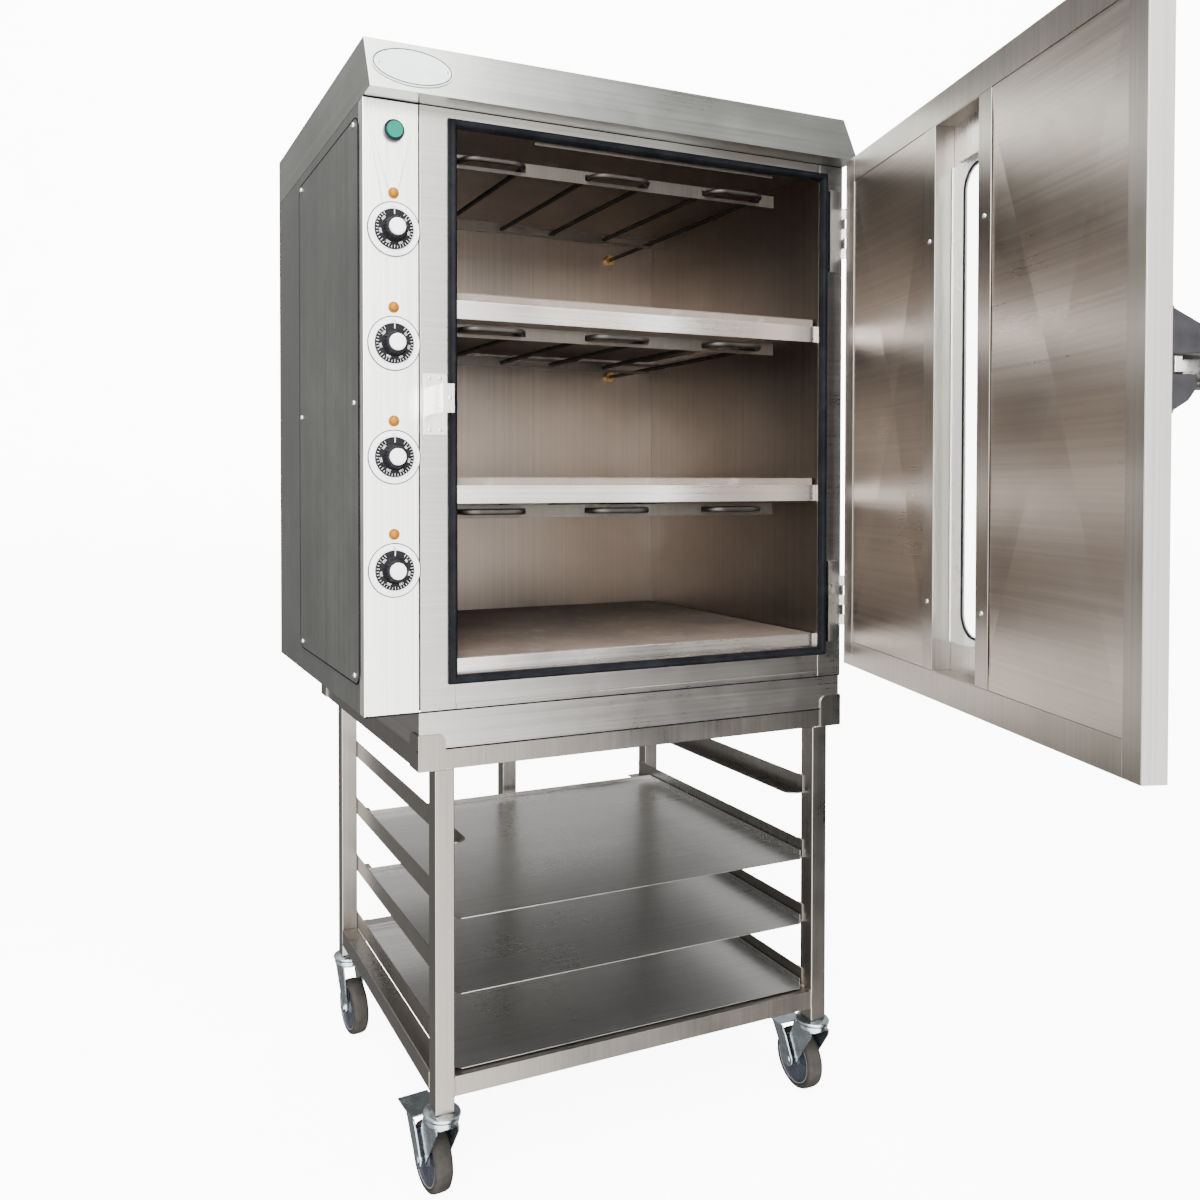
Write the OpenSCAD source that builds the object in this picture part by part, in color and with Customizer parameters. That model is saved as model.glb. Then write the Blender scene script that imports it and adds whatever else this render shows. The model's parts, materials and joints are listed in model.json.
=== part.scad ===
// Three-deck electric bread oven on a mobile rack stand, with its door open.
// Millimetres, +Z up. The origin is on the floor under the middle of the oven body;
// the door side is the front, towards -Y. The controls are on the left, towards -X.

/* [Oven body] */
// Width of the oven body, controls included
body_w = 840; // [800:5:900]
// Depth of the oven body
body_d = 624; // [600:4:700]
// Height of the oven body, without plinth and canopy
body_h = 870; // [870:1:872]
// Height of the oven body's underside above the floor
body_z = 733; // [730:1:736]
// Height of the sloping canopy
canopy_h = 80; // [60:5:100]
// How far the canopy's lip stands out in front of the body
canopy_lip = 39; // [37:1:45]
// Width of the control column
control_w = 83; // [82:1:86]
// Thickness of the outer sheet metal
sheet = 1.5; // [1:0.25:2]

/* [Baking chamber] */
// Clear width of the chamber mouth
mouth_w = 655; // [650:1:658]
// Clear height of the chamber mouth
mouth_h = 792; // [790:1:794]
// Depth of the chamber from the front frame to its back wall
chamber_d = 555; // [540:5:560]
// Number of baking stones above the bottom one
upper_decks = 2; // [1:1:2]
// Height from one stone to the next
deck_pitch = 270; // [268:1:272]
// Thickness of a baking stone
stone_t = 18; // [14:1:20]
// Diameter of the heating element's tube
element_d = 8; // [6:0.5:9]

/* [Door] */
// Width of the door
door_w = 722; // [720:1:723]
// Height of the door
door_h = 835; // [830:1:838]
// Thickness of the door
door_t = 29; // [27:1:30]
// Angle at which the door stands open at rest
door_open = 72.4; // [0:0.1:160]
// Gap between the front frame and the closed door
seal_gap = 12; // [12:0.5:13]

/* [Controls] */
// Diameter of the ring round each dial
ring_d = 78; // [70:1:80]
// Diameter of a dial's skirt
dial_d = 57; // [50:1:60]
// Height between dials
dial_pitch = 160.5; // [155:0.5:162]
// Number of dials
dials = 4; // [1:1:4]

/* [Stand] */
// Width of the stand over its top frame
stand_w = 756; // [750:2:760]
// Side of the square leg tube
tube = 30; // [25:1:32]
// Height between the tray levels
level_pitch = 112; // [100:1:114]
// Number of tray levels
levels = 4; // [3:1:4]
// Width of a tray
tray_w = 640; // [630:1:641]
// Depth of a tray
tray_d = 525; // [480:5:540]
// Diameter of a castor wheel
wheel_d = 100; // [95:1:100]
// Height of a castor, floor to leg
castor_h = 140; // [139:1:142]

/* [Hidden] */
$fn = 48;
eps = 0.2;                                // seam left between the sheets of one node

// Oven body
x_left = -body_w / 2;
x_right = body_w / 2;
y_front = -body_d / 2;
y_back = body_d / 2;
z_top = body_z + body_h;
x_frame = x_left + control_w;             // seam between control column and front frame
seam = 2;                                 // open joint beside the control panel
return_d = 22;                            // depth of the control panel's folded edge
lip_setback = 4;                          // top edge of the canopy in front of the body

// Chamber mouth and liner
frame_t = 2;
mouth_x0 = x_right - 48 - mouth_w;
mouth_x1 = mouth_x0 + mouth_w;
mouth_z0 = body_z + 50;
mouth_z1 = mouth_z0 + mouth_h;
ceiling_z = mouth_z1 + 14;
liner_t = 1.2;
y_liner = y_front + frame_t;
y_wall = y_front + chamber_d;
seal_w = 13;
seal_t = seal_gap - 0.6;
seal_over = 1;                            // how far the seal covers the mouth's edge

// Decks
deck_rail_h = 27;
deck_rail_t = 2;
stone_show = 12;                          // stone standing above its front rail
stone_z0 = mouth_z0 + 24;                 // top of the bottom stone
stone_gap = 4;
stone_x0 = mouth_x0 + stone_gap;
stone_x1 = mouth_x1 - stone_gap;
y_deck = y_liner + 6;
ledge_w = 22;
function stone_z(i) = stone_z0 + (i == 0 ? 0 : 265 + (i - 1) * deck_pitch);

// Heating elements: six runs joined by hairpins, in three levels
run_half = 50;                            // half the distance between the runs of a hairpin
run_x = [for (i = [0:2], s = [-1, 1]) mouth_x0 + 68 + i * 215 + s * run_half];
support_h = 20;
support_t = 1.5;
y_support = [y_liner + 30, y_liner + 380];
bend_r = 22;
support_x0 = mouth_x0 + 1;
support_x1 = mouth_x0 + 584;
slot_w = 114;
slot_h = 9;
element_z = concat([for (i = [1:upper_decks]) stone_z(i) - 52], [mouth_z1 - 36]);
bushing_d = 14;
floor_element_z = mouth_z0 - 8;           // element under the chamber's floor

// Door, drawn closed and then swung open
door_x1 = x_right - 1;
door_x0 = door_x1 - door_w;
door_y1 = y_front - seal_gap;             // inner face
door_y0 = door_y1 - door_t;               // outer face
door_z0 = body_z + 29;
door_z1 = door_z0 + door_h;
hinge_x = door_x1 + 7;
hinge_y = door_y0 - 4;
skin = 1.2;
stile_hinge = 32;
stile_free = 28;
rail_door = 40;
strip_w = 29;
window_x0 = door_x1 - 412;                // window recess between the screw strips
window_x1 = door_x1 - 300;
window_z0 = door_z0 + rail_door;
window_z1 = door_z1 - rail_door;
glass_w = 62;
glass_x0 = window_x0 + 12;
glass_z0 = door_z0 + 95;
glass_z1 = door_z1 - 112;
glass_t = 4;
cross_depth = 8;                          // how far the crossed creases stand out

// Hinges
hinge_h = 84;
knuckle_r = 6;
pin_r = 3;
pin_fit = 0.05;
knuckles = 5;
knuckle_gap = 0.3;
knuckle_h = hinge_h / knuckles;
hinge_z = [862, 1490];                    // middles of the two hinges
leaf_t = 2.5;
spacer_h = 137;
spacer_w = 23;
spacer_x0 = mouth_x1 + 14;

// Latch
latch_z = 1181;
latch_x = door_x0 + 36;
hub_r = 23;
bolt_w = 16;
bolt_t = 8;
bolt_travel = 17;
bolt_len = 74;
spindle_r = 6;
bracket_t = 4;
barrel_l = 46;                            // latch barrel, from the door's face
keeper_x0 = door_x0 - 29.5;
keeper_w = 36;
keeper_h = 88;
keeper_z = 1176.5;
web_t = 2;
web_x0 = door_x0 - 20.5;
web_h = 40;
nose_y = y_front - 61;
nose_w = 17;

// Controls
dial_x = x_left + 44;
function dial_z(i) = body_z + 206.5 + i * dial_pitch;
lamp_rise = 51;
button_z = z_top - 44;
ring_t = 2.5;
spindle_d = 6;
knob_fit = 0.05;
gland_x = x_left + 42;                    // cable gland on the back
gland_z = body_z + 60;
gland_r = 7;
gland_thread_r = 10;

// Stand
stand_cx = 39;
stand_x0 = stand_cx - stand_w / 2;
stand_x1 = stand_cx + stand_w / 2;
stand_y1 = 309;
skirt_h = 30;
plinth_h = 56;
skirt_z0 = body_z - plinth_h - skirt_h;
plinth_z0 = body_z - plinth_h;
leg_in = 24;
leg_x = [stand_x0 + leg_in, stand_x1 - leg_in - tube];
leg_y = [y_front + 1, y_front + 563.7];
rail_z0 = castor_h + 22;
wall = 1.5;
runner_t = 2;
runner_h = 30;
shelf_w = 30;
runner_y0 = y_front + 24;
runner_y1 = leg_y[1] + tube - 4;
level_z0 = rail_z0 + tube + 2;
function level_z(i) = level_z0 + i * level_pitch;
tray_t = 1.5;
tray_lift = 0.3;
tray_rim = 10;
tray_x0 = leg_x[0] + tube + runner_t + 2;
tray_y0 = y_front + 12;
bracket_w = 42;
bracket_plate = 2.5;
bracket_top = skirt_z0 + 52.5;

// Castors: swivel axis under each leg, wheel trailing at the stated heading
trail = 36;
wheel_w = 30;
axle_r = 5;
axle_fit = 0.05;
fork_t = 3;
fork_gap = 4;
race_z = 119;
heading = [94, 88, -86, -118];            // front left, front right, rear left, rear right
castor_xy = [for (j = [0, 1], i = [0, 1]) [leg_x[i] + tube / 2, leg_y[j] + tube / 2]];

// ---------------------------------------------------------------- helpers
module box(x0, x1, y0, y1, z0, z1) {
    translate([x0, y0, z0])
        cube([x1 - x0, y1 - y0, z1 - z0]);
}

// Cylinder along +Y from y0 to y1
module rod_y(x, z, y0, y1, r) {
    translate([x, y0, z])
        rotate([-90, 0, 0])
            cylinder(h = y1 - y0, r = r);
}

// Cylinder along +X from x0 to x1
module rod_x(y, z, x0, x1, r) {
    translate([x0, y, z])
        rotate([0, 90, 0])
            cylinder(h = x1 - x0, r = r);
}

// Square tube along Z, open at both ends
module tube_z(x, y, z0, z1) {
    difference() {
        box(x, x + tube, y, y + tube, z0, z1);
        box(x + wall, x + tube - wall, y + wall, y + tube - wall, z0 - 1, z1 + 1);
    }
}

// Rounded plate outline with the lower left corner at the origin
module rounded(w, h, r) {
    hull()
        for (x = [r, w - r], y = [r, h - r])
            translate([x, y])
                circle(r);
}

// Swings what is drawn for the closed door to where it stands at rest
module door_at_rest() {
    translate([hinge_x, hinge_y, 0])
        rotate([0, 0, door_open])
            translate([-hinge_x, -hinge_y, 0])
                children();
}

// ---------------------------------------------------------------- oven body
module canopy() {
    slope_y = y_front - canopy_lip;
    color("lightgray")
        translate([x_left, 0, 0])
            rotate([90, 0, 90])
                difference() {
                    linear_extrude(body_w)
                        polygon([
                            [slope_y, z_top], [y_front - lip_setback, z_top + canopy_h],
                            [y_back, z_top + canopy_h], [y_back, z_top]
                        ]);
                    translate([0, 0, sheet])
                        linear_extrude(body_w - 2 * sheet)
                            polygon([
                                [slope_y + 2 * sheet, z_top + sheet],
                                [y_front - lip_setback + sheet, z_top + canopy_h - sheet],
                                [y_back - sheet, z_top + canopy_h - sheet],
                                [y_back - sheet, z_top - 1],
                                [y_front + sheet, z_top - 1],
                                [y_front + sheet, z_top + sheet]
                            ]);
                }
}

module badge_plate() {
    slope = atan2(canopy_lip - lip_setback, canopy_h);
    color("gainsboro")
        translate([x_left + 66, y_front - (canopy_lip + lip_setback) / 2, z_top + canopy_h / 2])
            rotate([90 - slope, 0, 0])
                linear_extrude(1.6)
                    polygon([for (a = [0:7.5:359]) [60 * cos(a), 34 * sin(a)]]);
}

module casing_upright_panels() {
    color("dimgray") {
        box(x_left, x_left + sheet, y_front + return_d, y_back - sheet, body_z, z_top - sheet - eps);
        box(x_right - sheet, x_right, y_front + frame_t, y_back - sheet, body_z + sheet + eps,
            z_top - sheet - eps);
        // divider between the control bay and the insulation
        box(x_frame, x_frame + sheet, y_front + frame_t, y_back - sheet - eps,
            body_z + sheet + eps, z_top - sheet - eps);
    }
}

module side_access_cover() {
    color("dimgray")
        translate([x_left - sheet, y_front + 23, body_z + 42])
            rotate([90, 0, 90])
                linear_extrude(sheet)
                    rounded(404, 807, 20);
}

module casing_back_panel() {
    color("dimgray")
        difference() {
            box(x_left, x_right, y_back - sheet, y_back, body_z, z_top);
            rod_y(gland_x, gland_z, y_back - 5, y_back + 5, gland_thread_r);
        }
}

module casing_floor_and_roof() {
    color("dimgray") {
        box(x_left + sheet, x_right, y_front + return_d, y_back - sheet, body_z, body_z + sheet);
        box(x_left, x_right, y_front + frame_t, y_back - sheet, z_top - sheet, z_top);
    }
}

module plinth_frame() {
    t = 2;
    color("silver") {
        box(stand_x0, stand_x1, y_front, y_front + t, plinth_z0, body_z);
        box(stand_x0, stand_x1, stand_y1 - t, stand_y1, plinth_z0, body_z);
        for (x = [stand_x0, stand_x1 - t])
            box(x, x + t, y_front + t + eps, stand_y1 - t - eps, plinth_z0, body_z);
    }
}

module control_panel() {
    color("whitesmoke")
        difference() {
            union() {
                box(x_left, x_frame - seam, y_front, y_front + sheet, body_z, z_top - sheet - eps);
                box(x_left, x_left + sheet, y_front, y_front + return_d - eps, body_z,
                    z_top - sheet - eps);
                box(x_left, x_frame - seam, y_front, y_front + return_d - eps, body_z,
                    body_z + sheet - 0.1);
            }
            for (i = [0:dials - 1]) {
                rod_y(dial_x, dial_z(i), y_front - 5, y_front + 5, 8);
                rod_y(dial_x, dial_z(i) + lamp_rise, y_front - 5, y_front + 5, 6);
            }
            rod_y(dial_x, button_z, y_front - 5, y_front + 5, 11);
        }
}

module front_frame() {
    color("lightgray") {
        box(x_frame, mouth_x0, y_front, y_front + frame_t, body_z, z_top);
        box(mouth_x1, x_right, y_front, y_front + frame_t, body_z, z_top);
        box(mouth_x0 + eps, mouth_x1 - eps, y_front, y_front + frame_t, mouth_z1, z_top);
        union() {
            box(mouth_x0 + eps, mouth_x1 - eps, y_front, y_front + frame_t, body_z, mouth_z0);
            box(mouth_x0 + eps, mouth_x1 - 2, y_front - 1.2, y_front, body_z + 1, body_z + 9);
        }
    }
}

module door_seal() {
    x0 = mouth_x0 + seal_over - seal_w;
    x1 = mouth_x1 - seal_over + seal_w;
    z0 = mouth_z0 + seal_over - seal_w;
    z1 = mouth_z1 - seal_over + seal_w;
    color("midnightblue") {
        for (x = [x0, x1 - seal_w])
            box(x, x + seal_w, y_front - seal_t, y_front, z0, z1);
        for (z = [z0, z1 - seal_w])
            box(x0 + seal_w + eps, x1 - seal_w - eps, y_front - seal_t, y_front, z, z + seal_w);
    }
}

module cavity_liner() {
    color("saddlebrown") {
        for (x = [mouth_x0 - liner_t, mouth_x1])
            box(x, x + liner_t, y_liner, y_wall, mouth_z0, ceiling_z);
        box(mouth_x0 - liner_t, mouth_x1 + liner_t, y_liner, y_wall + liner_t,
            mouth_z0 - liner_t - eps, mouth_z0 - eps);
        box(mouth_x0 - liner_t, mouth_x1 + liner_t, y_liner, y_wall + liner_t,
            ceiling_z + eps, ceiling_z + liner_t + eps);
        difference() {
            box(mouth_x0 - liner_t, mouth_x1 + liner_t, y_wall + eps, y_wall + liner_t,
                mouth_z0, ceiling_z);
            for (z = element_z, x = [run_x[0], run_x[5]])
                rod_y(x, z, y_wall - 5, y_wall + 5, bushing_d / 2);
        }
    }
}

module insulation_slabs() {
    c = 1;                                // clearance to the sheets
    z0 = mouth_z0 - liner_t - eps;
    color("khaki") {
        box(x_frame + sheet + c, mouth_x0 - liner_t - c, y_liner + c, y_wall - c, z0, ceiling_z);
        box(mouth_x1 + liner_t + c, x_right - sheet - c, y_liner + c, y_wall - c, z0, ceiling_z);
        difference() {
            box(x_frame + sheet + c, x_right - sheet - c, y_wall + liner_t + c,
                y_back - sheet - c, z0, ceiling_z);
            for (z = element_z, x = [run_x[0], run_x[5]])
                rod_y(x, z, y_wall, y_back, bushing_d / 2 + 2);
        }
        box(x_frame + sheet + c, x_right - sheet - c, y_liner + c, y_back - sheet - c,
            ceiling_z + liner_t + c, z_top - sheet - c);
        box(x_frame + sheet + c, x_right - sheet - c, y_liner + c, y_back - sheet - c,
            body_z + sheet + c, floor_element_z - element_d / 2 - c);
    }
}

// Front rail, side ledges and rear ledge that carry one stone whose top is at z
module deck_frame(z, rail_top, rail_h) {
    box(mouth_x0, mouth_x1, y_deck, y_deck + deck_rail_t, rail_top - rail_h, rail_top);
    for (x = [mouth_x0, mouth_x1 - ledge_w])
        box(x, x + ledge_w, y_deck + deck_rail_t + eps, y_wall - eps,
            z - stone_t - 3, z - stone_t);
    box(mouth_x0 + ledge_w + eps, mouth_x1 - ledge_w - eps, y_wall - ledge_w, y_wall - eps,
        z - stone_t - 3, z - stone_t);
}

module deck_frames() {
    color("lightgray") {
        deck_frame(stone_z(0), stone_z(0) - 1, 23);
        for (i = [1:upper_decks])
            deck_frame(stone_z(i), stone_z(i) - stone_show, deck_rail_h);
    }
}

module baking_stones() {
    color("rosybrown")
        for (i = [0:upper_decks])
            box(stone_x0, stone_x1, y_deck + deck_rail_t + 0.4, y_wall - 5,
                stone_z(i) - stone_t, stone_z(i));
}

// Slotted bar that holds the hairpins of one element
module slotted_bar(y, z) {
    difference() {
        box(support_x0, support_x1, y, y + support_t, z - support_h / 2, z + support_h / 2);
        for (i = [0:2])
            box(run_x[2 * i] + run_half - slot_w / 2, run_x[2 * i] + run_half + slot_w / 2,
                y - 5, y + 5, z - slot_h / 2, z + slot_h / 2);
    }
}

module element_supports() {
    color("gainsboro") {
        for (z = element_z, y = y_support)
            slotted_bar(y, z);
        // bright flange along the front of the ceiling
        box(mouth_x0 + 128, mouth_x0 + 560, y_liner + 2, y_liner + 4, mouth_z1 - 6, ceiling_z);
    }
}

// Straight part between two runs and its quarter bends
module return_bend(x0, x1, y, z, dir) {
    r = bend_r;
    translate([x0 + r, y, z])
        rotate([0, 0, dir > 0 ? 90 : 180])
            rotate_extrude(angle = 90)
                translate([r, 0])
                    circle(d = element_d, $fn = 24);
    translate([x1 - r, y, z])
        rotate([0, 0, dir > 0 ? 0 : 270])
            rotate_extrude(angle = 90)
                translate([r, 0])
                    circle(d = element_d, $fn = 24);
    rod_x(y + dir * r, z, x0 + r, x1 - r, element_d / 2);
}

module heating_element(z) {
    y0 = y_support[0] - 2;
    y1 = y_support[1] + 2 + support_t;
    for (i = [0:5])
        rod_y(run_x[i], z, y0, i == 0 || i == 5 ? y_wall + 30 : y1, element_d / 2);
    for (i = [0, 2, 4])
        return_bend(run_x[i], run_x[i + 1], y0, z, -1);
    for (i = [1, 3])
        return_bend(run_x[i], run_x[i + 1], y1, z, 1);
}

module heating_elements() {
    color("black")
        for (z = concat([floor_element_z], element_z))
            heating_element(z);
}

module element_bushings() {
    color("goldenrod")
        for (z = element_z, x = [run_x[0], run_x[5]])
            difference() {
                union() {
                    rod_y(x, z, y_wall - 1, y_wall + 20, bushing_d / 2 - 0.1);
                    translate([x, y_wall - 9, z])
                        rotate([-90, 0, 0])
                            cylinder(h = 9, r = 11, $fn = 6);
                }
                rod_y(x, z, y_wall - 20, y_wall + 40, element_d / 2 + 0.05);
            }
}

// ---------------------------------------------------------------- controls
module thermostats() {
    color("dimgray")
        for (i = [0:dials - 1]) {
            translate([dial_x - 20, y_front + 14, dial_z(i) - 17])
                cube([40, 44, 34]);
            rod_y(dial_x, dial_z(i), y_front + 4, y_front + 15, 5);
            rod_y(dial_x, dial_z(i), y_front - 16, y_front + 5, spindle_d / 2);
        }
}

module pilot_lamps() {
    color("orange")
        for (i = [0:dials - 1]) {
            z = dial_z(i) + lamp_rise;
            translate([dial_x, y_front, z])
                rotate([90, 0, 0])
                    rotate_extrude()
                        polygon([[0, 0], [8, 0], [8, 3], [6.5, 5.5], [3.5, 6.8], [0, 7.2]]);
            rod_y(dial_x, z, y_front - 1, y_front + 26, 5.8);
        }
}

module dial_rings() {
    color("white")
        for (i = [0:dials - 1])
            difference() {
                rod_y(dial_x, dial_z(i), y_front - ring_t, y_front, ring_d / 2);
                rod_y(dial_x, dial_z(i), y_front - ring_t - 1, y_front + 1, 9);
            }
}

module button_bezel() {
    color("black")
        difference() {
            union() {
                rod_y(dial_x, button_z, y_front - 6, y_front, 15);
                rod_y(dial_x, button_z, y_front - 1, y_front + 42, 10.9);
            }
            rod_y(dial_x, button_z, y_front - 7, y_front - 1.5, 11.6);
            rod_y(dial_x, button_z, y_front - 2, y_front + 30, 8);
        }
}

module power_button() {
    color("mediumseagreen")
        union() {
            rod_y(dial_x, button_z, y_front - 10, y_front - 5.5, 11.5);
            rod_y(dial_x, button_z, y_front - 6, y_front + 22, 7.95);
        }
}

module dial_knob(i) {
    y0 = y_front - ring_t - 0.4;
    color("black")
        difference() {
            union() {
                rod_y(dial_x, dial_z(i), y0 - 3, y0, dial_d / 2);
                translate([dial_x, y0 - 2, dial_z(i)])
                    rotate([90, 0, 0])
                        rotate_extrude()
                            polygon([[0, 0], [18, 0], [15.5, 15], [11.5, 17], [11.5, 20], [0, 20.8]]);
            }
            rod_y(dial_x, dial_z(i), y_front - 17, y_front, spindle_d / 2 + knob_fit);
        }
}

module dial_knob_1() { dial_knob(3); }
module dial_knob_2() { dial_knob(2); }
module dial_knob_3() { dial_knob(1); }
module dial_knob_4() { dial_knob(0); }

module cable_gland() {
    color("black")
        difference() {
            union() {
                rod_y(gland_x, gland_z, y_back - 14, y_back + 1, gland_thread_r - 0.1);
                translate([gland_x, y_back, gland_z])
                    rotate([-90, 0, 0])
                        cylinder(h = 8, r = 15, $fn = 6);
                rod_y(gland_x, gland_z, y_back + 7, y_back + 22, 12);
            }
            rod_y(gland_x, gland_z, y_back - 20, y_back + 30, gland_r);
        }
}

module panel_screws() {
    color("silver") {
        for (z = [body_z + 52, body_z + 445, body_z + 842], y = [y_front + 47, y_front + 409])
            rod_x(y, z, x_left - sheet - 2.5, x_left - sheet, 4.5);
        for (x = [keeper_x0 + 9, keeper_x0 + 25], s = [-1, 1])
            rod_y(x, keeper_z + s * 37, y_front - web_t - 1.4, y_front - web_t, 2.6);
        for (z = hinge_z, s = [-1, 0, 1])
            rod_y(spacer_x0 + spacer_w + 5, z + s * 27, y_front - leaf_t - 1.5,
                y_front - leaf_t, 3);
        for (s = [-1, 1])
            badge_screw(s * 50);
    }
}

// Screw on the badge, dx away from its middle
module badge_screw(dx) {
    slope = atan2(canopy_lip - lip_setback, canopy_h);
    translate([x_left + 66, y_front - (canopy_lip + lip_setback) / 2, z_top + canopy_h / 2])
        rotate([90 - slope, 0, 0])
            translate([dx, 0, 1.6])
                cylinder(h = 1.2, r = 2.5);
}

// ---------------------------------------------------------------- keeper and hinges
module latch_keeper() {
    color("whitesmoke")
        union() {
            box(keeper_x0, keeper_x0 + keeper_w, y_front - web_t, y_front,
                keeper_z - keeper_h / 2, keeper_z + keeper_h / 2);
            box(web_x0, web_x0 + web_t, nose_y, y_front, latch_z - web_h / 2, latch_z + web_h / 2);
            box(web_x0, web_x0 + nose_w, nose_y, nose_y + web_t, latch_z - web_h / 2,
                latch_z + web_h / 2);
        }
}

// One hinge knuckle between two heights
module knuckle(z0, z1) {
    translate([hinge_x, hinge_y, z0])
        cylinder(h = z1 - z0, r = knuckle_r);
}

module hinge_bore() {
    for (z = hinge_z)
        translate([hinge_x, hinge_y, z - hinge_h])
            cylinder(h = 2 * hinge_h, r = pin_r + pin_fit);
}

module hinge_body_leaves() {
    crank_x = hinge_x - 4.5;
    color("whitesmoke")
        difference() {
            union()
                for (z = hinge_z) {
                    z0 = z - hinge_h / 2;
                    box(spacer_x0, spacer_x0 + spacer_w, y_front - seal_gap + 1.5, y_front,
                        z - spacer_h / 2, z + spacer_h / 2);
                    box(spacer_x0, crank_x + 3, y_front - leaf_t, y_front, z0, z0 + hinge_h);
                    for (k = [0:2:knuckles - 1]) {
                        knuckle(z0 + k * knuckle_h, z0 + (k + 1) * knuckle_h);
                        box(crank_x, crank_x + 3, hinge_y, y_front, z0 + k * knuckle_h,
                            z0 + (k + 1) * knuckle_h);
                    }
                }
            hinge_bore();
        }
}

module hinge_pins() {
    color("gray")
        for (z = hinge_z) {
            translate([hinge_x, hinge_y, z - hinge_h / 2 - 2])
                cylinder(h = hinge_h + 4, r = pin_r);
            translate([hinge_x, hinge_y, z + hinge_h / 2])
                cylinder(h = 3, r = pin_r + 2);
        }
}

module hinge_door_leaves() {
    color("silver")
        door_at_rest()
            difference() {
                union()
                    for (z = hinge_z) {
                        z0 = z - hinge_h / 2;
                        box(door_x1 - 40, door_x1 - 1.5, door_y0 - leaf_t, door_y0, z0,
                            z0 + hinge_h);
                        for (k = [1:2:knuckles - 1]) {
                            knuckle(z0 + k * knuckle_h + knuckle_gap,
                                z0 + (k + 1) * knuckle_h - knuckle_gap);
                            box(door_x1 - 2, hinge_x, door_y0 - leaf_t, door_y0,
                                z0 + k * knuckle_h + knuckle_gap,
                                z0 + (k + 1) * knuckle_h - knuckle_gap);
                        }
                    }
                hinge_bore();
            }
}

// ---------------------------------------------------------------- door
module door_outer_pan() {
    color("silver")
        door_at_rest()
            difference() {
                box(door_x0, door_x1, door_y0, door_y1 - skin, door_z0, door_z1);
                box(door_x0 + skin, door_x1 - skin, door_y0 + skin, door_y1, door_z0 + skin,
                    door_z1 - skin);
                translate([glass_x0, door_y0 - 1, glass_z0])
                    translate([0, 10, 0])
                        rotate([90, 0, 0])
                            linear_extrude(20)
                                rounded(glass_w, glass_z1 - glass_z0, glass_w / 2 - 1);
                rod_y(latch_x, latch_z, door_y0 - 1, door_y0 + 5, spindle_r + 1);
            }
}

module door_inner_frame() {
    y0 = door_y1 - skin;
    color("gray")
        door_at_rest() {
            box(door_x0, door_x0 + stile_free, y0, door_y1, door_z0, door_z1);
            box(door_x1 - stile_hinge, door_x1, y0, door_y1, door_z0, door_z1);
            for (z = [door_z0, door_z1 - rail_door])
                box(door_x0 + stile_free + eps, door_x1 - stile_hinge - eps, y0, door_y1, z,
                    z + rail_door);
        }
}

// Cross-broken panel: a low four-sided pyramid on a sheet
module creased_panel(x0, x1) {
    z0 = door_z0 + rail_door + eps;
    z1 = door_z1 - rail_door - eps;
    y = door_y1 - skin;
    polyhedron(
        points = [
            [x0, y, z0], [x1, y, z0], [x1, y, z1], [x0, y, z1],
            [x0, y - 2, z0], [x1, y - 2, z0], [x1, y - 2, z1], [x0, y - 2, z1],
            [(x0 + x1) / 2, y - 2 - cross_depth, (z0 + z1) / 2],
            [(x0 + x1) / 2, y - cross_depth, (z0 + z1) / 2]
        ],
        faces = [
            [1, 0, 9], [2, 1, 9], [3, 2, 9], [0, 3, 9],
            [4, 5, 8], [5, 6, 8], [6, 7, 8], [7, 4, 8],
            [0, 1, 5, 4], [1, 2, 6, 5], [2, 3, 7, 6], [3, 0, 4, 7]
        ]
    );
}

module door_inner_panels() {
    color("rosybrown")
        door_at_rest() {
            creased_panel(door_x0 + stile_free + eps, window_x0 - strip_w / 2);
            creased_panel(window_x1 + strip_w / 2, door_x1 - stile_hinge - eps);
        }
}

// Screwed strips beside the window, each with the wall of the window's recess
module window_strips() {
    z0 = window_z0 + eps;
    z1 = window_z1 - eps;
    color("gray")
        door_at_rest() {
            for (s = [[window_x0 - strip_w, window_x0, 0], [window_x1, window_x1 + strip_w, 1]]) {
                box(s[0], s[1], door_y1 - skin, door_y1, z0, z1);
                box(s[2] == 0 ? s[1] - skin : s[0], s[2] == 0 ? s[1] : s[0] + skin,
                    door_y0 + skin + 0.1, door_y1 - skin, z0, z1);
            }
            for (z = [z0, z1 - skin])
                box(window_x0 + eps, window_x1 - eps, door_y0 + skin + 0.1, door_y1, z, z + skin);
        }
}

module window_glass() {
    y0 = door_y0 + skin + 0.1;
    color("lightcyan")
        door_at_rest()
            box(window_x0 + 2, window_x1 - 2, y0, y0 + glass_t, glass_z0 - 14, glass_z1 + 14);
}

module door_screws() {
    color("silver")
        door_at_rest() {
            for (x = [window_x0 - strip_w / 2, window_x1 + strip_w / 2], z = [897, 1400])
                rod_y(x, z, door_y1, door_y1 + 2.2, 3.5);
            for (z = hinge_z, s = [-1, 0, 1])
                rod_y(door_x1 - 26, z + s * 27, door_y0 - leaf_t - 1.8, door_y0 - leaf_t, 3.5);
        }
}

// ---------------------------------------------------------------- latch
// Gusset with its upright edge on the base plate, drawn as (outwards, up) points
module gusset(x0, points) {
    translate([x0, door_y0 - bracket_t + 0.1, latch_z])
        rotate([90, 0, 90])
            linear_extrude(3)
                polygon(points);
}

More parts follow.
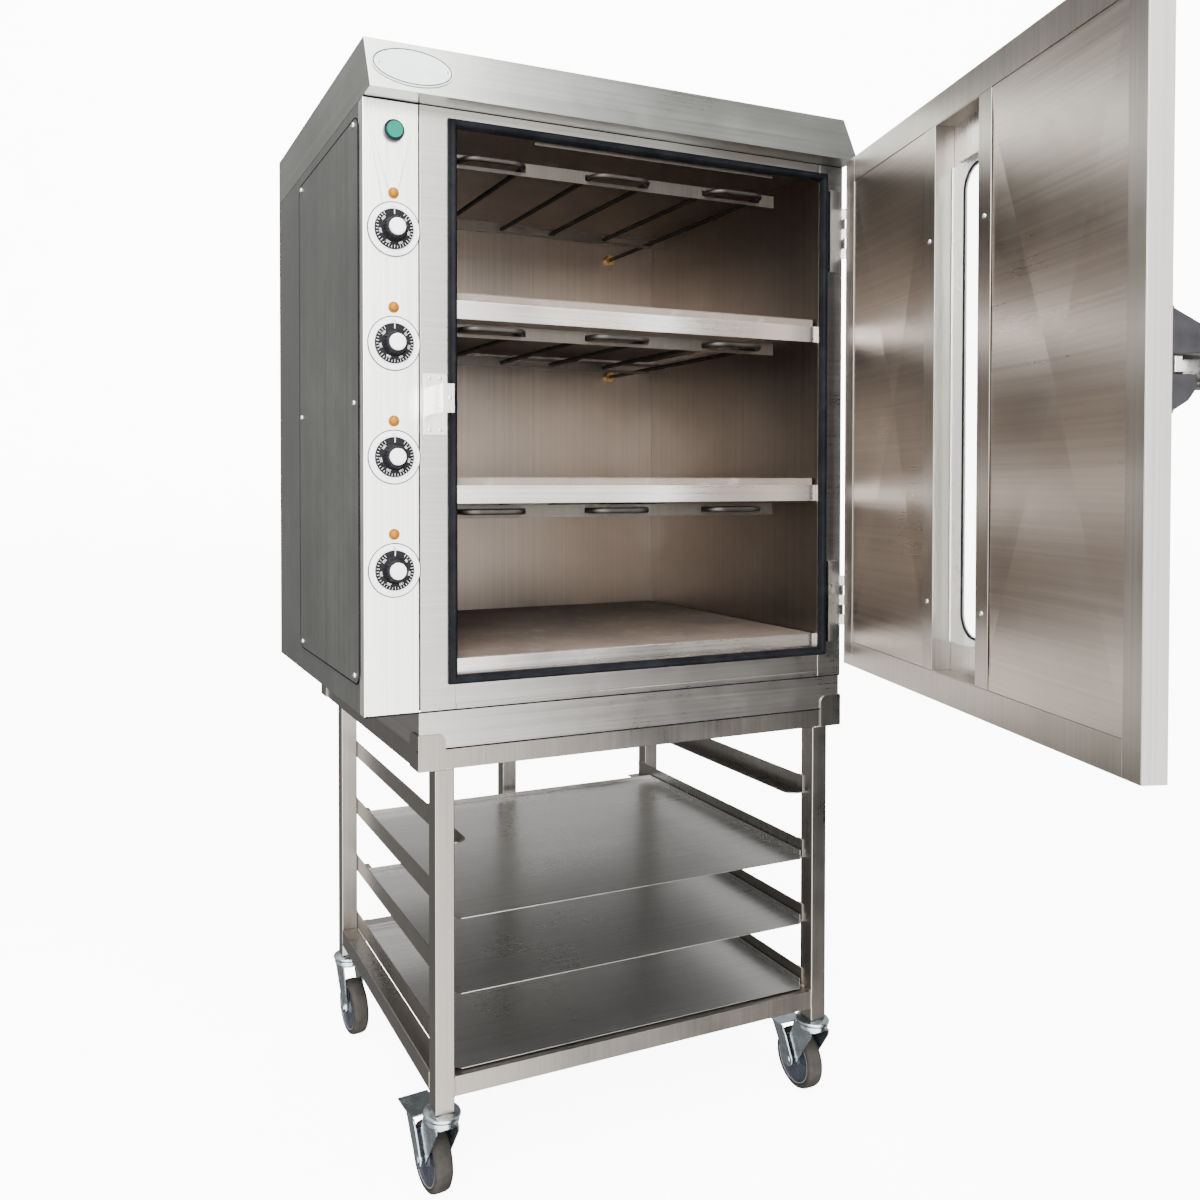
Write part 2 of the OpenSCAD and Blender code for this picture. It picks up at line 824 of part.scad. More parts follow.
module latch_bracket() {
    upper = [[0, 10], [-58, 12], [-60, 22], [-34, 38], [0, 56]];
    lower = [[0, -10], [-24, -10], [-26, -22], [-16, -36], [0, -46]];
    face = door_y0 - bracket_t;
    color("darkslategray")
        door_at_rest()
            difference() {
                union() {
                    box(door_x0 + 3, door_x0 + 68, face, door_y0, latch_z - 49, latch_z + 58);
                    for (x = [door_x0 + 3, door_x0 + 65], points = [upper, lower])
                        gusset(x, points);
                    rod_y(latch_x, latch_z, door_y0 - barrel_l, face + 0.1, hub_r);
                }
                rod_y(latch_x, latch_z, door_y0 - barrel_l - 1, face, hub_r - 3);
                rod_y(latch_x, latch_z, door_y0 - 10, door_y0 + 5, spindle_r + 1);
                box(latch_x - hub_r - 1, latch_x + hub_r + 1, face - bolt_t - 0.6, face,
                    latch_z - bolt_w / 2 - 0.4, latch_z + bolt_w / 2 + 0.4);
            }
}

module latch_bolt() {
    y0 = door_y0 - bracket_t - 0.3 - bolt_t;
    color("silver")
        door_at_rest()
            difference() {
                box(door_x0 + 2, door_x0 + 2 + bolt_len, y0, y0 + bolt_t, latch_z - bolt_w / 2,
                    latch_z + bolt_w / 2);
                box(latch_x - spindle_r, latch_x + spindle_r + bolt_travel, y0 - 1,
                    y0 + bolt_t + 1, latch_z - 5, latch_z + 5);
            }
}

module latch_handle() {
    y1 = door_y0 - barrel_l - 0.4;
    color("silver")
        door_at_rest()
            union() {
                rod_y(latch_x, latch_z, y1 - 1, door_y0 + 4, spindle_r - 1.5);
                rod_y(latch_x, latch_z, y1 - 42, y1, hub_r);
                hull() {
                    rod_y(latch_x, latch_z, y1 - 40, y1 - 27, 16);
                    rod_y(latch_x, latch_z - 150, y1 - 40, y1 - 27, 12);
                }
            }
}

// ---------------------------------------------------------------- stand
module stand_legs() {
    color("silver") {
        for (x = leg_x, y = leg_y)
            tube_z(x, y, castor_h, skirt_z0);
        tube_z(stand_cx - tube / 2, leg_y[1], rail_z0 + tube, skirt_z0);
    }
}

// Angle bars of the top frame: upright web outside, flange underneath
module stand_top_frame() {
    t = 3;
    f = leg_in + tube;
    color("silver") {
        for (y = [[y_front, y_front + t, y_front + f], [stand_y1 - t, stand_y1, stand_y1 - f]])
            union() {
                box(stand_x0, stand_x1, y[0], y[1], skirt_z0, plinth_z0);
                box(stand_x0 + f + eps, stand_x1 - f - eps, min(y[0], y[2]), max(y[1], y[2]),
                    skirt_z0, skirt_z0 + t);
            }
        for (x = [[stand_x0, stand_x0 + t, stand_x0 + f], [stand_x1 - t, stand_x1, stand_x1 - f]])
            union() {
                box(min(x[0], x[2]), max(x[1], x[2]), y_front + t + eps, stand_y1 - t - eps,
                    skirt_z0, skirt_z0 + t);
                box(x[0], x[1], y_front + t + eps, stand_y1 - t - eps, skirt_z0, plinth_z0);
            }
    }
}

// Plate with one rounded top corner, in the XZ plane
module cup_plate(w, h, t) {
    rotate([90, 0, 0])
        translate([0, 0, -t])
            linear_extrude(t)
                union() {
                    square([w, h - 12]);
                    square([w - 12, h]);
                    translate([w - 12, h - 12])
                        circle(12);
                }
}

module corner_brackets() {
    t = bracket_plate;
    h = bracket_top - skirt_z0;
    y1 = stand_y1 + t;
    y0 = y_front - t;
    xc = (stand_x0 + stand_x1) / 2;
    yc = (y0 + y1) / 2;
    color("silver")
        for (mx = [0, 1], my = [0, 1])
            translate([xc, yc, 0])
                mirror([mx, 0, 0])
                    mirror([0, my, 0])
                        translate([-xc, -yc, skirt_z0])
                            union() {
                                translate([stand_x0 - t, y0, 0])
                                    cup_plate(bracket_w, h, t);
                                translate([stand_x0 - t, y0, 0])
                                    mirror([1, -1, 0])
                                        cup_plate(bracket_w, h, t);
                            }
}

module stand_rails() {
    color("silver") {
        for (x = leg_x)
            box(x, x + tube, leg_y[0] + tube, leg_y[1], rail_z0, rail_z0 + tube);
        for (y = leg_y)
            box(leg_x[0] + tube, leg_x[1], y, y + tube, rail_z0, rail_z0 + tube);
    }
}

// Angle runner on the left side, with a rounded front end to its shelf
module runner(z) {
    x0 = leg_x[0] + tube;
    union() {
        box(x0, x0 + runner_t, runner_y0, runner_y1, z - runner_t, z - runner_t + runner_h);
        translate([x0, runner_y0 + 18, z - runner_t])
            cube([shelf_w, runner_y1 - runner_y0 - 18, runner_t]);
        intersection() {
            translate([x0 + shelf_w - 18, runner_y0 + 18, z - runner_t])
                cylinder(h = runner_t, r = 18);
            box(x0, x0 + shelf_w, runner_y0, runner_y0 + 20, z - runner_t, z);
        }
        box(x0, x0 + shelf_w - 18, runner_y0, runner_y0 + 19, z - runner_t, z);
    }
}

module tray_runners() {
    color("dimgray")
        for (i = [0:levels - 1]) {
            runner(level_z(i));
            translate([2 * stand_cx, 0, 0])
                mirror([1, 0, 0])
                    runner(level_z(i));
        }
}

// ---------------------------------------------------------------- trays
// Sheet tray with upturned sides and back, and a flat front edge
module tray(z) {
    z0 = z + tray_lift;
    y1 = tray_y0 + tray_d;
    r = 16;
    color("gray")
        union() {
            difference() {
                box(tray_x0, tray_x0 + tray_w, tray_y0, y1, z0, z0 + tray_t);
                for (m = [0, 1])
                    translate([tray_x0 + m * tray_w, tray_y0, z0 - 1])
                        rotate([0, 0, 45])
                            cube([r, r, 2 * tray_t + 2], center = true);
            }
            for (x = [tray_x0, tray_x0 + tray_w - tray_t])
                box(x, x + tray_t, tray_y0 + 14, y1, z0, z0 + tray_rim);
            box(tray_x0, tray_x0 + tray_w, y1 - tray_t, y1, z0, z0 + tray_rim);
        }
}

module tray_1() { tray(level_z(2)); }
module tray_2() { tray(level_z(1)); }
module tray_3() { tray(level_z(0)); }

// ---------------------------------------------------------------- castors
// Moves to castor i's swivel axis and turns +X to the way that its wheel trails
module at_castor(i) {
    translate([castor_xy[i].x, castor_xy[i].y, 0])
        rotate([0, 0, heading[i]])
            children();
}

module castor_heads() {
    color("lightsteelblue")
        for (i = [0:3])
            translate([castor_xy[i].x, castor_xy[i].y, 0]) {
                translate([0, 0, castor_h - 9])
                    cylinder(h = 9, r = 26);
                translate([0, 0, race_z - 3])
                    cylinder(h = castor_h - race_z, r = 6);
                translate([0, 0, race_z - 6])
                    cylinder(h = 4, r = 10, $fn = 6);
                translate([0, 0, castor_h - 1])
                    cylinder(h = 36, r = 12);
            }
}

module castor_fork(i) {
    half = wheel_w / 2 + fork_gap;
    color("lightsteelblue")
        at_castor(i)
            difference() {
                union() {
                    translate([0, 0, race_z])
                        cylinder(h = castor_h - 9.3 - race_z, r = 24);
                    translate([-20, -half - fork_t, race_z - fork_t])
                        cube([46, 2 * (half + fork_t), fork_t + 1]);
                    for (y = [-half - fork_t, half])
                        translate([0, y, 0])
                            fork_arm();
                    translate([trail, -half - fork_t - 5, wheel_d / 2])
                        rotate([-90, 0, 0])
                            cylinder(h = 2 * (half + fork_t + 5), r = axle_r);
                }
                translate([0, 0, race_z - 20])
                    cylinder(h = 60, r = 6.1);
                translate([0, 0, race_z - 8])
                    cylinder(h = 6.3, r = 10.5);
            }
}

// Side plate of the fork, from the crown down to the axle
module fork_arm() {
    translate([0, fork_t, 0])
        rotate([90, 0, 0])
            linear_extrude(fork_t)
                hull() {
                    translate([-20, race_z - 1])
                        square([46, 1]);
                    translate([trail, wheel_d / 2])
                        circle(11);
                }
}

module castor_wheel(i) {
    r = wheel_d / 2;
    h = wheel_w / 2;
    color("dimgray")
        at_castor(i)
            translate([trail, 0, r])
                rotate([90, 0, 0])
                    rotate_extrude($fn = 96)
                        polygon([
                            [axle_r + axle_fit, -h - 1], [12, -h - 1], [14, -h + 4], [33, -h + 4],
                            [36, -h + 1], [42, -h + 1], [46, -h + 3], [49, -h + 6], [r, -h + 10],
                            [r, h - 10], [49, h - 6], [46, h - 3], [42, h - 1], [36, h - 1],
                            [33, h - 4], [14, h - 4], [12, h + 1], [axle_r + axle_fit, h + 1]
                        ]);
}

// Stirrup that swings on the axle's ends, with a tread over the far side of the wheel
module brake_pedal(i) {
    half = wheel_w / 2 + fork_gap + fork_t + 0.6;
    t = 2.5;
    tread_z = wheel_d / 2 + 1;
    color("lightsteelblue")
        at_castor(i)
            translate([trail, 0, wheel_d / 2])
                union() {
                    for (y = [-half - t, half])
                        difference() {
                            translate([0, y + t, 0])
                                rotate([90, 0, 0])
                                    linear_extrude(t)
                                        union() {
                                            circle(12);
                                            polygon([[-11, 4], [11, -4], [42, tread_z - 8],
                                                     [48, tread_z], [16, tread_z], [8, 40]]);
                                        }
                            translate([0, y - 1, 0])
                                rotate([-90, 0, 0])
                                    cylinder(h = t + 2, r = axle_r + axle_fit);
                        }
                    translate([26, -half - t, tread_z - t])
                        cube([56, 2 * (half + t), t]);
                }
}

module castor_fork_front_left() { castor_fork(0); }
module castor_fork_front_right() { castor_fork(1); }
module castor_fork_rear_left() { castor_fork(2); }
module castor_fork_rear_right() { castor_fork(3); }
module castor_wheel_front_left() { castor_wheel(0); }
module castor_wheel_front_right() { castor_wheel(1); }
module castor_wheel_rear_left() { castor_wheel(2); }
module castor_wheel_rear_right() { castor_wheel(3); }
module brake_pedal_left() { brake_pedal(0); }
module brake_pedal_right() { brake_pedal(1); }

canopy();
badge_plate();
casing_upright_panels();
side_access_cover();
casing_back_panel();
casing_floor_and_roof();
plinth_frame();
control_panel();
front_frame();
door_seal();
cavity_liner();
insulation_slabs();
deck_frames();
baking_stones();
element_supports();
heating_elements();
element_bushings();
thermostats();
pilot_lamps();
dial_rings();
button_bezel();
cable_gland();
latch_keeper();
hinge_body_leaves();
hinge_pins();
panel_screws();
stand_legs();
stand_top_frame();
corner_brackets();
stand_rails();
tray_runners();
castor_heads();
door_outer_pan();
door_inner_frame();
door_inner_panels();
window_strips();
window_glass();
hinge_door_leaves();
door_screws();
latch_bracket();
latch_bolt();
latch_handle();
power_button();
dial_knob_1();
dial_knob_2();
dial_knob_3();
dial_knob_4();
tray_1();
tray_2();
tray_3();
castor_fork_front_left();
castor_fork_front_right();
castor_fork_rear_left();
castor_fork_rear_right();
castor_wheel_front_left();
castor_wheel_front_right();
castor_wheel_rear_left();
castor_wheel_rear_right();
brake_pedal_left();
brake_pedal_right();
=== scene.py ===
"""Looks of a deck bread oven on a mobile tray stand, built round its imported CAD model."""

import json
import math

import bmesh
import bpy
from mathutils import Matrix, Vector


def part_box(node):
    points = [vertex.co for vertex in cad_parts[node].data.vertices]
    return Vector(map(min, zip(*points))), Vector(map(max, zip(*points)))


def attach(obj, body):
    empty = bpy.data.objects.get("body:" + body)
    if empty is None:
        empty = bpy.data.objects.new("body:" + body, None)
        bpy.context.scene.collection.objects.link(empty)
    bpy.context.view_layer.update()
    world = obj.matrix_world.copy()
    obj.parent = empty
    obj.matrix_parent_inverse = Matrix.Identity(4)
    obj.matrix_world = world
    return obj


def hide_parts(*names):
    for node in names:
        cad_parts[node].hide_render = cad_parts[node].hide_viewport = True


MM = 0.001

# ---------------------------------------------------------------- places, in millimetres
Y_FRONT = -312.0          # front of the oven body
DIAL_X = -376.0           # middle of the control column
DIAL_Z = (1421.0, 1260.5, 1100.0, 939.5)
LAMP_RISE = 51.0          # pilot lamp above its dial
HINGE = Vector((426.0, -357.0, 0.0))
DOOR_OPEN = 72.4          # degrees, at rest
LATCH_PLATE = 4.0         # thickness of the latch's base plate
HUB_BASE = 46.4           # where the latch hub starts, outwards from the door's face
CASTORS = {               # swivel axis x, y and the heading in which the wheel trails
    "front_left": (-300.0, -296.0, 94.0),
    "front_right": (378.0, -296.0, 88.0),
    "rear_left": (-300.0, 266.7, -86.0),
    "rear_right": (378.0, 266.7, -118.0),
}
TRAIL = 36.0
LEG_X = (-315.0, 363.0)   # low corners of the legs
LEG_Y = (-311.0, 251.7)
TUBE = 30.0
RAIL_Z = 162.0
LEVEL_Z = (194.0, 306.0, 418.0, 530.0)
DOOR_FACE = -353.0        # outer and inner faces of the closed door
DOOR_BACK = -324.0
DOOR_SKIN = 1.2           # sheet of the door
HINGE_Z = (862.0, 1490.0)
STRIP_X = (-7.5, 133.5)   # screw strips beside the window
LATCH = (-267.0, 1181.0)  # spindle on the closed door: x, z


# ---------------------------------------------------------------- node helpers
class Shader:
    """A material's node tree, built one call at a time."""

    def __init__(self, name):
        self.material = bpy.data.materials.new(name)
        self.material.use_nodes = True
        self.tree = self.material.node_tree
        self.bsdf = self.tree.nodes["Principled BSDF"]

    def add(self, kind, inputs=None, **settings):
        node = self.tree.nodes.new(kind)
        for key, value in settings.items():
            setattr(node, key, value)
        for key, value in (inputs or {}).items():
            self.feed(node.inputs[key], value)
        return node

    def feed(self, socket, value):
        if isinstance(value, bpy.types.NodeSocket):
            self.tree.links.new(value, socket)
        else:
            socket.default_value = value

    def surface(self, **inputs):
        for key, value in inputs.items():
            self.feed(self.bsdf.inputs[key.replace("_", " ")], value)

    def coordinates(self, scale=(1, 1, 1)):
        """Object coordinates, in metres, times a scale for each axis."""
        place = self.add("ShaderNodeTexCoord").outputs["Object"]
        return self.add("ShaderNodeMapping", {"Vector": place, "Scale": scale}).outputs["Vector"]

    def noise(self, scale, stretch=(1, 1, 1), detail=4.0, roughness=0.55):
        return self.add("ShaderNodeTexNoise", {"Vector": self.coordinates(stretch), "Scale": scale,
                                               "Detail": detail, "Roughness": roughness}).outputs["Fac"]

    def remap(self, value, low, high, start=0.3, end=0.7):
        return self.add("ShaderNodeMapRange", {"Value": value, "From Min": start, "From Max": end,
                                               "To Min": low, "To Max": high}).outputs["Result"]

    def blend(self, factor, first, second, mode="MIX"):
        node = self.add("ShaderNodeMix", data_type="RGBA", blend_type=mode)
        self.feed(node.inputs[0], factor)
        self.feed(node.inputs[6], first)
        self.feed(node.inputs[7], second)
        return node.outputs[2]

    def math(self, operation, first, second=0.0):
        node = self.add("ShaderNodeMath", operation=operation)
        self.feed(node.inputs[0], first)
        self.feed(node.inputs[1], second)
        return node.outputs["Value"]

    def bump(self, height, strength, distance, normal=None):
        node = self.add("ShaderNodeBump", {"Height": height, "Strength": strength, "Distance": distance})
        if normal is not None:
            self.feed(node.inputs["Normal"], normal)
        return node.outputs["Normal"]


def rgb(r, g, b):
    return (r, g, b, 1.0)


GRAIN = {"flat": (1.5, 1.5, 260.0), "upright": (260.0, 260.0, 1.2), "across": (1.5, 260.0, 260.0)}


def steel(name, tint, rough=(0.26, 0.42), grain="flat", stain=None, stain_share=0.5, bump=0.008):
    """Brushed sheet: fine streaks along the grain, cloudy handling marks and an optional heat stain."""
    s = Shader(name)
    streaks = s.noise(1.0, GRAIN[grain], detail=3.0, roughness=0.6)
    clouds = s.noise(3.5, detail=3.0, roughness=0.45)
    smudges = s.noise(23.0, detail=6.0, roughness=0.65)
    dark = rgb(*(0.88 * c for c in tint))
    light = rgb(*(min(1.0, 1.08 * c) for c in tint))
    colour = s.blend(s.remap(streaks, 0.0, 1.0), dark, light)
    if stain is not None:
        share = s.remap(clouds, 0.0, stain_share, 0.35, 0.62)
        colour = s.blend(share, colour, rgb(*stain))
    shade = s.math("MULTIPLY", s.remap(streaks, 0.93, 1.07), s.remap(smudges, 0.95, 1.1))
    roughness = s.math("MULTIPLY", s.remap(clouds, rough[0], rough[1]), shade)
    fine = s.bump(streaks, bump, 0.0002)
    s.surface(Base_Color=colour, Metallic=1.0, Roughness=roughness,
              Normal=s.bump(clouds, 0.03, 0.002, fine))
    return s.material


def plated(name, tint, rough=(0.18, 0.36), spangle=60.0):
    """Zinc or chrome plate: soft cloudy colour, small pits and dull spots."""
    s = Shader(name)
    clouds = s.noise(spangle, detail=5.0)
    specks = s.noise(900.0, detail=2.0)
    colour = s.blend(s.remap(clouds, 0.0, 1.0), rgb(*(0.78 * c for c in tint)), rgb(*tint))
    s.surface(Base_Color=colour, Metallic=0.95, Roughness=s.remap(clouds, *rough),
              Normal=s.bump(specks, 0.1, 0.0002))
    return s.material


def moulded(name, tint, rough=0.42, grainy=0.15, specular=0.3, glow=0.0):
    """Plastic with a fine spark-eroded skin and faint rubbing marks."""
    s = Shader(name)
    skin = s.noise(1400.0, detail=3.0)
    rubs = s.noise(40.0, detail=6.0)
    colour = s.blend(s.remap(rubs, 0.0, 1.0), rgb(*(0.88 * c for c in tint)), rgb(*tint))
    s.surface(Base_Color=colour, Roughness=s.remap(rubs, rough * 0.85, rough * 1.2),
              Normal=s.bump(skin, grainy, 0.0002), Specular_IOR_Level=specular,
              Emission_Color=rgb(*tint), Emission_Strength=glow)
    return s.material


def rubber(name, tint, dusty, rough=0.7, specular=0.15):
    """Rubber with rub marks and pale dust in its low spots."""
    s = Shader(name)
    dust = s.noise(30.0, detail=8.0, roughness=0.7)
    grit = s.noise(800.0, detail=3.0)
    colour = s.blend(s.remap(dust, 0.0, 0.8, 0.4, 0.75), rgb(*tint), rgb(*dusty))
    s.surface(Base_Color=colour, Roughness=s.remap(grit, rough - 0.08, rough + 0.12),
              Normal=s.bump(grit, 0.3, 0.0004), Specular_IOR_Level=specular)
    return s.material


def fired_stone(name):
    """Fired clay slab: mottled brown with pale flour dust, pores and scorch marks."""
    s = Shader(name)
    scorch = s.noise(7.0, detail=7.0, roughness=0.6)
    flour = s.noise(26.0, detail=9.0, roughness=0.75)
    pores = s.noise(420.0, detail=4.0)
    body = s.blend(s.remap(scorch, 0.0, 1.0, 0.3, 0.68), rgb(0.07, 0.05, 0.038), rgb(0.13, 0.098, 0.075))
    top = s.blend(s.remap(flour, 0.0, 0.4, 0.55, 0.8), body, rgb(0.44, 0.40, 0.36))
    depth = s.add("ShaderNodeSeparateXYZ", {"Vector": s.coordinates()}).outputs["Y"]
    colour = s.blend(s.remap(depth, 0.0, 1.0, -0.3035, -0.3015), rgb(0.93, 0.92, 0.9), top)
    s.surface(Base_Color=colour, Roughness=s.remap(pores, 0.74, 0.95),
              Normal=s.bump(pores, 0.5, 0.0006, s.bump(scorch, 0.2, 0.002)))
    return s.material


def wool(name):
    s = Shader(name)
    fibres = s.noise(160.0, (1, 1, 6), detail=8.0, roughness=0.8)
    colour = s.blend(s.remap(fibres, 0.0, 1.0), rgb(0.35, 0.3, 0.16), rgb(0.68, 0.62, 0.42))
    s.surface(Base_Color=colour, Roughness=s.remap(fibres, 0.8, 1.0), Normal=s.bump(fibres, 0.8, 0.002))
    return s.material


def window_pane(name):
    """Clear pane with faint wiping marks."""
    s = Shader(name)
    wipes = s.noise(14.0, (1, 1, 0.3), detail=7.0)
    colour = s.blend(s.remap(wipes, 0.0, 1.0), rgb(0.86, 0.92, 0.91), rgb(0.96, 0.98, 0.98))
    s.surface(Base_Color=colour, Roughness=s.remap(wipes, 0.02, 0.12), Transmission_Weight=0.9, IOR=1.46,
              Normal=s.bump(wipes, 0.03, 0.001))
    return s.material


# ---------------------------------------------------------------- mesh helpers
def frame_axes(direction):
    """Two unit vectors square to a direction."""
    d = Vector(direction).normalized()
    side = Vector((0, 0, 1)) if abs(d.z) < 0.9 else Vector((1, 0, 0))
    first = side.cross(d).normalized()
    return first, d.cross(first)


class Builder:
    """Collects closed solids, in millimetres, and turns them into one object that rides on a body."""

    def __init__(self):
        self.mesh = bmesh.new()

    def rings(self, rings, closed=False):
        """Skins a list of point rings; open lists get end caps."""
        rows = [[self.mesh.verts.new(Vector(p) * MM) for p in ring] for ring in rings]
        pairs = list(zip(rows, rows[1:])) + ([(rows[-1], rows[0])] if closed else [])
        for low, high in pairs:
            for i in range(len(low)):
                j = (i + 1) % len(low)
                self.mesh.faces.new((low[i], low[j], high[j], high[i]))
        if not closed:
            self.mesh.faces.new(list(reversed(rows[0])))
            self.mesh.faces.new(rows[-1])

    def lathe(self, profile, base, axis, steps=48, wave=None):
        """Turns (radius, height) points round an axis. wave(angle, radius, height) may shift a radius."""
        first, second = frame_axes(axis)
        up = Vector(axis).normalized()
        rings = []
        for radius, height in profile:
            ring = []
            for k in range(steps):
                a = 2 * math.pi * k / steps
                r = max(radius + (wave(a, radius, height) if wave else 0.0), 0.02)
                ring.append(Vector(base) + up * height + (first * math.cos(a) + second * math.sin(a)) * r)
            rings.append(ring)
        self.rings(rings)

    def washer(self, profile, base, axis, steps=64):
        """Turns a closed (radius, height) outline round an axis into a ring."""
        first, second = frame_axes(axis)
        up = Vector(axis).normalized()
        rings = []
        for k in range(steps):
            a = 2 * math.pi * k / steps
            out = first * math.cos(a) + second * math.sin(a)
            rings.append([Vector(base) + up * h + out * r for r, h in profile])
        self.rings(rings, closed=True)

    def sweep(self, points, radius, steps=12, closed=False):
        """Round bar along points; radius is a number or a function of the point's index."""
        path = [Vector(p) for p in points]
        rings = []
        side = None
        for i, p in enumerate(path):
            ahead = path[(i + 1) % len(path)] if closed else path[min(i + 1, len(path) - 1)]
            behind = path[i - 1] if closed or i else path[0]
            along = (ahead - behind).normalized()
            if side is None:
                side = frame_axes(along)[0]
            side = (side - along * side.dot(along)).normalized()
            other = along.cross(side)
            r = radius(i) if callable(radius) else radius
            rings.append([p + (side * math.cos(t) + other * math.sin(t)) * r
                          for t in (2 * math.pi * k / steps for k in range(steps))])
        self.rings(rings, closed=closed)

    def prism(self, outline, base, axis, up, depth):
        """Extrudes an outline of (across, up) points along an axis."""
        along = Vector(axis).normalized()
        rise = Vector(up).normalized()
        across = rise.cross(along)
        low = [Vector(base) + across * a + rise * b for a, b in outline]
        self.rings([low, [p + along * depth for p in low]])

    def finish(self, name, body, material, replaces=(), door=False, bevel=0.0, smooth=40):
        if door:
            turn = Matrix.Rotation(math.radians(DOOR_OPEN), 4, "Z")
            move = Matrix.Translation(HINGE * MM)
            self.mesh.transform(move @ turn @ move.inverted())
        bmesh.ops.recalc_face_normals(self.mesh, faces=self.mesh.faces)
        data = bpy.data.meshes.new(name)
        self.mesh.to_mesh(data)
        self.mesh.free()
        piece = bpy.data.objects.new(name, data)
        bpy.context.scene.collection.objects.link(piece)
        data.materials.append(material)
        data.shade_smooth()
        if bevel:
            soften(piece, bevel, weld=False)
        else:
            data.set_sharp_from_angle(angle=math.radians(smooth))
        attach(piece, body)
        if replaces:
            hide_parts(*replaces)
        return piece


def soften(piece, width, weld=True):
    """Rounds a piece's sharp edges by a width in millimetres."""
    if weld:
        join = piece.modifiers.new("Weld", "WELD")
        join.merge_threshold = 0.00002
    edge = piece.modifiers.new("Bevel", "BEVEL")
    edge.width = width * MM
    edge.segments = 2
    edge.limit_method = "ANGLE"
    edge.angle_limit = math.radians(32)
    even = piece.modifiers.new("Normals", "WEIGHTED_NORMAL")
    even.weight = 100
    even.keep_sharp = True


# ---------------------------------------------------------------- stage, camera and lights
def make_camera():
    data = bpy.data.cameras.new("camera")
    data.sensor_width = 36.0
    data.lens = 31.37
    data.shift_x = 0.0642
    data.shift_y = -0.0812
    camera = bpy.data.objects.new("camera", data)
    camera.location = (-0.8003, -1.7437, 1.0622)
    camera.rotation_euler = (math.radians(90 - 1.03), 0.0, math.radians(-23.54))
    bpy.context.scene.collection.objects.link(camera)
    bpy.context.scene.camera = camera


def area_light(name, place, target, size, power, tint=(1, 1, 1)):
    data = bpy.data.lights.new(name, "AREA")
    data.shape = "RECTANGLE"
    data.size, data.size_y = size
    data.energy = power
    data.color = tint
    lamp = bpy.data.objects.new(name, data)
    lamp.location = place
    lamp.rotation_euler = (Vector(target) - Vector(place)).to_track_quat("-Z", "Y").to_euler()
    bpy.context.scene.collection.objects.link(lamp)


def make_stage():
    """Pale round floor that curves up into a wall on every side."""
    floor_radius, bend, top = 10.0, 2.0, 24.0
    outline = [(0.0, 0.0), (4.0, 0.0)]
    for k in range(13):
        turn = math.pi * k / 24
        outline.append((floor_radius + bend * math.sin(turn), bend - bend * math.cos(turn)))
    outline.append((floor_radius + bend, top))
    steps = 96
    turns = [(math.cos(a), math.sin(a)) for a in (2 * math.pi * k / steps for k in range(steps))]
    points = [(0.0, 0.0, 0.0)] + [(r * c, r * t, z) for r, z in outline[1:] for c, t in turns]
    faces = [(0, 1 + k, 1 + (k + 1) % steps) for k in range(steps)]
    for row in range(len(outline) - 2):
        low, high = 1 + row * steps, 1 + (row + 1) * steps
        faces += [(low + k, high + k, high + (k + 1) % steps, low + (k + 1) % steps) for k in range(steps)]
    data = bpy.data.meshes.new("studio_floor")
    data.from_pydata(points, [], faces)
    data.validate()
    floor = bpy.data.objects.new("studio_floor", data)
    bpy.context.scene.collection.objects.link(floor)
    data.shade_smooth()
    s = Shader("studio_paper")
    paper = s.noise(3.0, detail=3.0)
    white = s.blend(s.remap(paper, 0.0, 1.0), rgb(0.96, 0.96, 0.955), rgb(0.99, 0.99, 0.985))
    s.surface(Base_Color=white, Roughness=0.95, Emission_Color=white, Emission_Strength=9.0)
    data.materials.append(s.material)
    floor.visible_glossy = False
    floor.visible_diffuse = False


def make_world():
    """Soft studio surroundings: bright before the oven, dim to its right and behind it."""
    world = bpy.data.worlds.new("studio")
    world.use_nodes = True
    bpy.context.scene.world = world
    tree = world.node_tree
    new, link = tree.nodes.new, tree.links.new
    place = new("ShaderNodeTexCoord")
    parts = new("ShaderNodeSeparateXYZ")
    link(place.outputs["Generated"], parts.inputs[0])

    def ramp(value, start, end, low, high):
        node = new("ShaderNodeMapRange")
        node.interpolation_type = "SMOOTHSTEP"
        link(value, node.inputs["Value"])
        for key, number in (("From Min", start), ("From Max", end), ("To Min", low), ("To Max", high)):
            node.inputs[key].default_value = number
        return node.outputs["Result"]

    def combine(operation, a, b):
        node = new("ShaderNodeMath")
        node.operation = operation
        link(a, node.inputs[0])
        link(b, node.inputs[1])
        return node.outputs[0]

    x, y, z = (parts.outputs[axis] for axis in "XYZ")
    softbox = combine("MULTIPLY", ramp(x, 0.27, 0.38, 1.0, 0.0), ramp(y, -0.8, -0.2, 7.0, 0.0))
    room_back = combine("MULTIPLY", ramp(y, 0.0, 0.5, 0.0, 1.0), ramp(x, -0.1, 0.3, 0.26, 0.5))
    room_back = combine("MULTIPLY", room_back, ramp(z, -0.3, 0.35, 0.85, 1.25))   # brighter above
    room_right = ramp(x, 0.76, 0.96, 0.05, 1.1)
    room_left = ramp(x, -0.9, -0.5, 0.8, 0.0)
    ceiling = combine("MULTIPLY", ramp(z, 0.3, 0.9, 0.0, 1.6), ramp(x, 0.2, 0.5, 1.0, 0.25))
    level = softbox
    for part in (room_back, room_right, room_left, ceiling):
        level = combine("ADD", level, part)
    tree.nodes["Background"].inputs["Color"].default_value = (1.0, 0.985, 0.965, 1.0)
    link(level, tree.nodes["Background"].inputs["Strength"])


